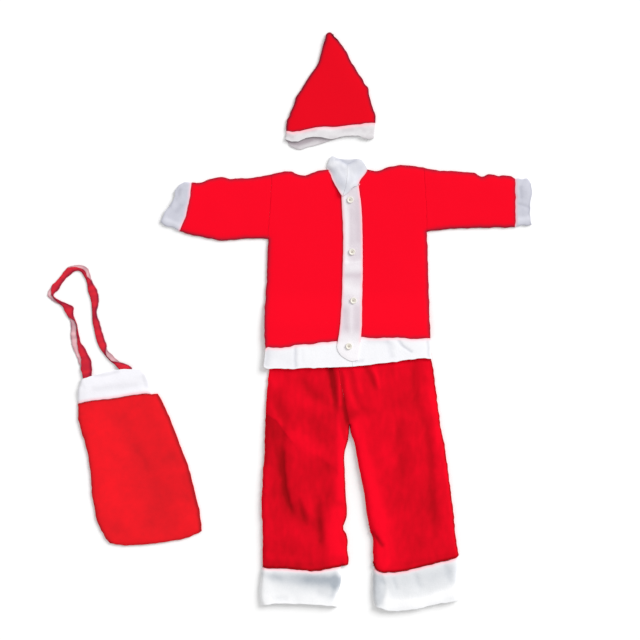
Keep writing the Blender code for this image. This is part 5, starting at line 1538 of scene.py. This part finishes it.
STRAP_FOLD = 1.3
STRAP_SWELL = 0.8
STRAP_FULL_WIDTH = 14
STRAP_STRAY = 0.7
STRAP_STRAY_SIZE = 6
STRAP_SETBACK = 0.6
STRAP_LEAST = 2.0
# Painted shade on the strap: along its edges, by how each is turned to the lamp, and round its fold. It is
# also painted darker where it narrows.
STRAP_SHADED_SIDE = (0.92, -0.38)
STRAP_TONE = 0.12
LINING_TONE = 0.20
FOLD_SHADE = 0.65
StrapEdge = namedtuple("StrapEdge", "tone turned reach")
FOLD_EDGE = StrapEdge(0.56, -0.36, 4.6)
OPEN_EDGE = StrapEdge(0.55, 0.42, 4.0)
RAW_EDGE = StrapEdge(0.45, 0.0, 2.8)
CLOUD_TONE = 0.45
CLOUD_SIZE = 10
NARROW_TONE = 0.35
NARROW_WIDTH = 15
STRAP_CELLS = 330
STRAP_LAYER_CELLS = 10
STRAP_FOLD_CELLS = 6
STRAP_BRIGHT = (0.680, 0.0230, 0.0400)
STRAP_DEEP = (0.230, 0.0120, 0.0330)
STRAP_PALE = (0.800, 0.480, 0.510)
STRAP_PALE_DEEP = (0.300, 0.130, 0.170)


def strap_edge(edge, gap, facing):
    """How dark the strap is near one of its edges, by how far that edge is turned from the lamp."""
    return (edge.tone + edge.turned * facing) * np.exp(-((gap / edge.reach) ** 2))


strap_knit = brushed_knit("strap_knit", STRAP_BRIGHT, STRAP_DEEP, mottle=0.55)
strap_back = brushed_knit("strap_back_knit", STRAP_PALE, STRAP_PALE_DEEP, mottle=0.50)
strap_path = along(STRAP, np.linspace(0, 1, STRAP_CELLS + 1))
strap_points, strap_shades, strap_widths = [], [], []
layer = np.linspace(0, 1, STRAP_LAYER_CELLS + 1)
turning = np.radians(np.linspace(90, 270, STRAP_FOLD_CELLS + 1)[1:-1])
for outer_x, outer_y, inner_x, inner_y, cover, lift in strap_path:
    across = np.array([outer_x - inner_x, outer_y - inner_y])
    side = across / np.linalg.norm(across)
    stray = noise.noise((outer_x / STRAP_STRAY_SIZE, outer_y / STRAP_STRAY_SIZE, 23.5))
    width = np.linalg.norm(across) + STRAP_STRAY * stray
    covered = min(cover, 1.0) * width
    upper = STRAP_FOLD + (max(covered - STRAP_SETBACK, STRAP_LEAST) - STRAP_FOLD) * (1 - layer)
    lower = STRAP_FOLD + (width - STRAP_FOLD) * layer
    swell = STRAP_SWELL * np.sin(math.pi * layer) * min(width / STRAP_FULL_WIDTH, 1.0)
    out = np.concatenate([upper, STRAP_FOLD + STRAP_FOLD * np.cos(turning), lower])
    height = np.concatenate([2 * STRAP_FOLD + swell, STRAP_FOLD + STRAP_FOLD * np.sin(turning), 0 * lower])
    place = (inner_x + out * side[0], inner_y + out * side[1], height + max(lift, 0.0))
    strap_points.append(np.column_stack(place))
    facing = float(np.dot(side, STRAP_SHADED_SIDE))
    cloud = CLOUD_TONE * noise.noise((outer_x / CLOUD_SIZE, outer_y / CLOUD_SIZE, 9.2))
    cloud += NARROW_TONE * max(0.0, 1 - width / NARROW_WIDTH)
    edges = strap_edge(FOLD_EDGE, upper, facing) + strap_edge(OPEN_EDGE, covered - upper, facing)
    lining = LINING_TONE + strap_edge(RAW_EDGE, width - lower, facing) + cloud
    turned = np.full(len(turning), FOLD_SHADE)
    strap_shades.append(np.concatenate([STRAP_TONE + edges + cloud, turned, lining]))
    strap_widths.append(2 * width)
strap_columns = len(strap_shades[0])
strap_points, strap_shades = np.concatenate(strap_points), np.concatenate(strap_shades)
strap_faces = grid_faces(STRAP_CELLS + 1, strap_columns)
strap_faces = strap_faces[np.argsort(strap_faces[:, 0] % strap_columns, kind="stable")]
strap = cloth_object(
    "bag_strap", strap_points, strap_faces, strap_shades, 0 * strap_shades, STRAP_WALL, TURNED_RIM, SACK,
    strap_knit, strap_back,
)
strap_middle = (strap_path[:, 0:2] + strap_path[:, 2:4]) / 2
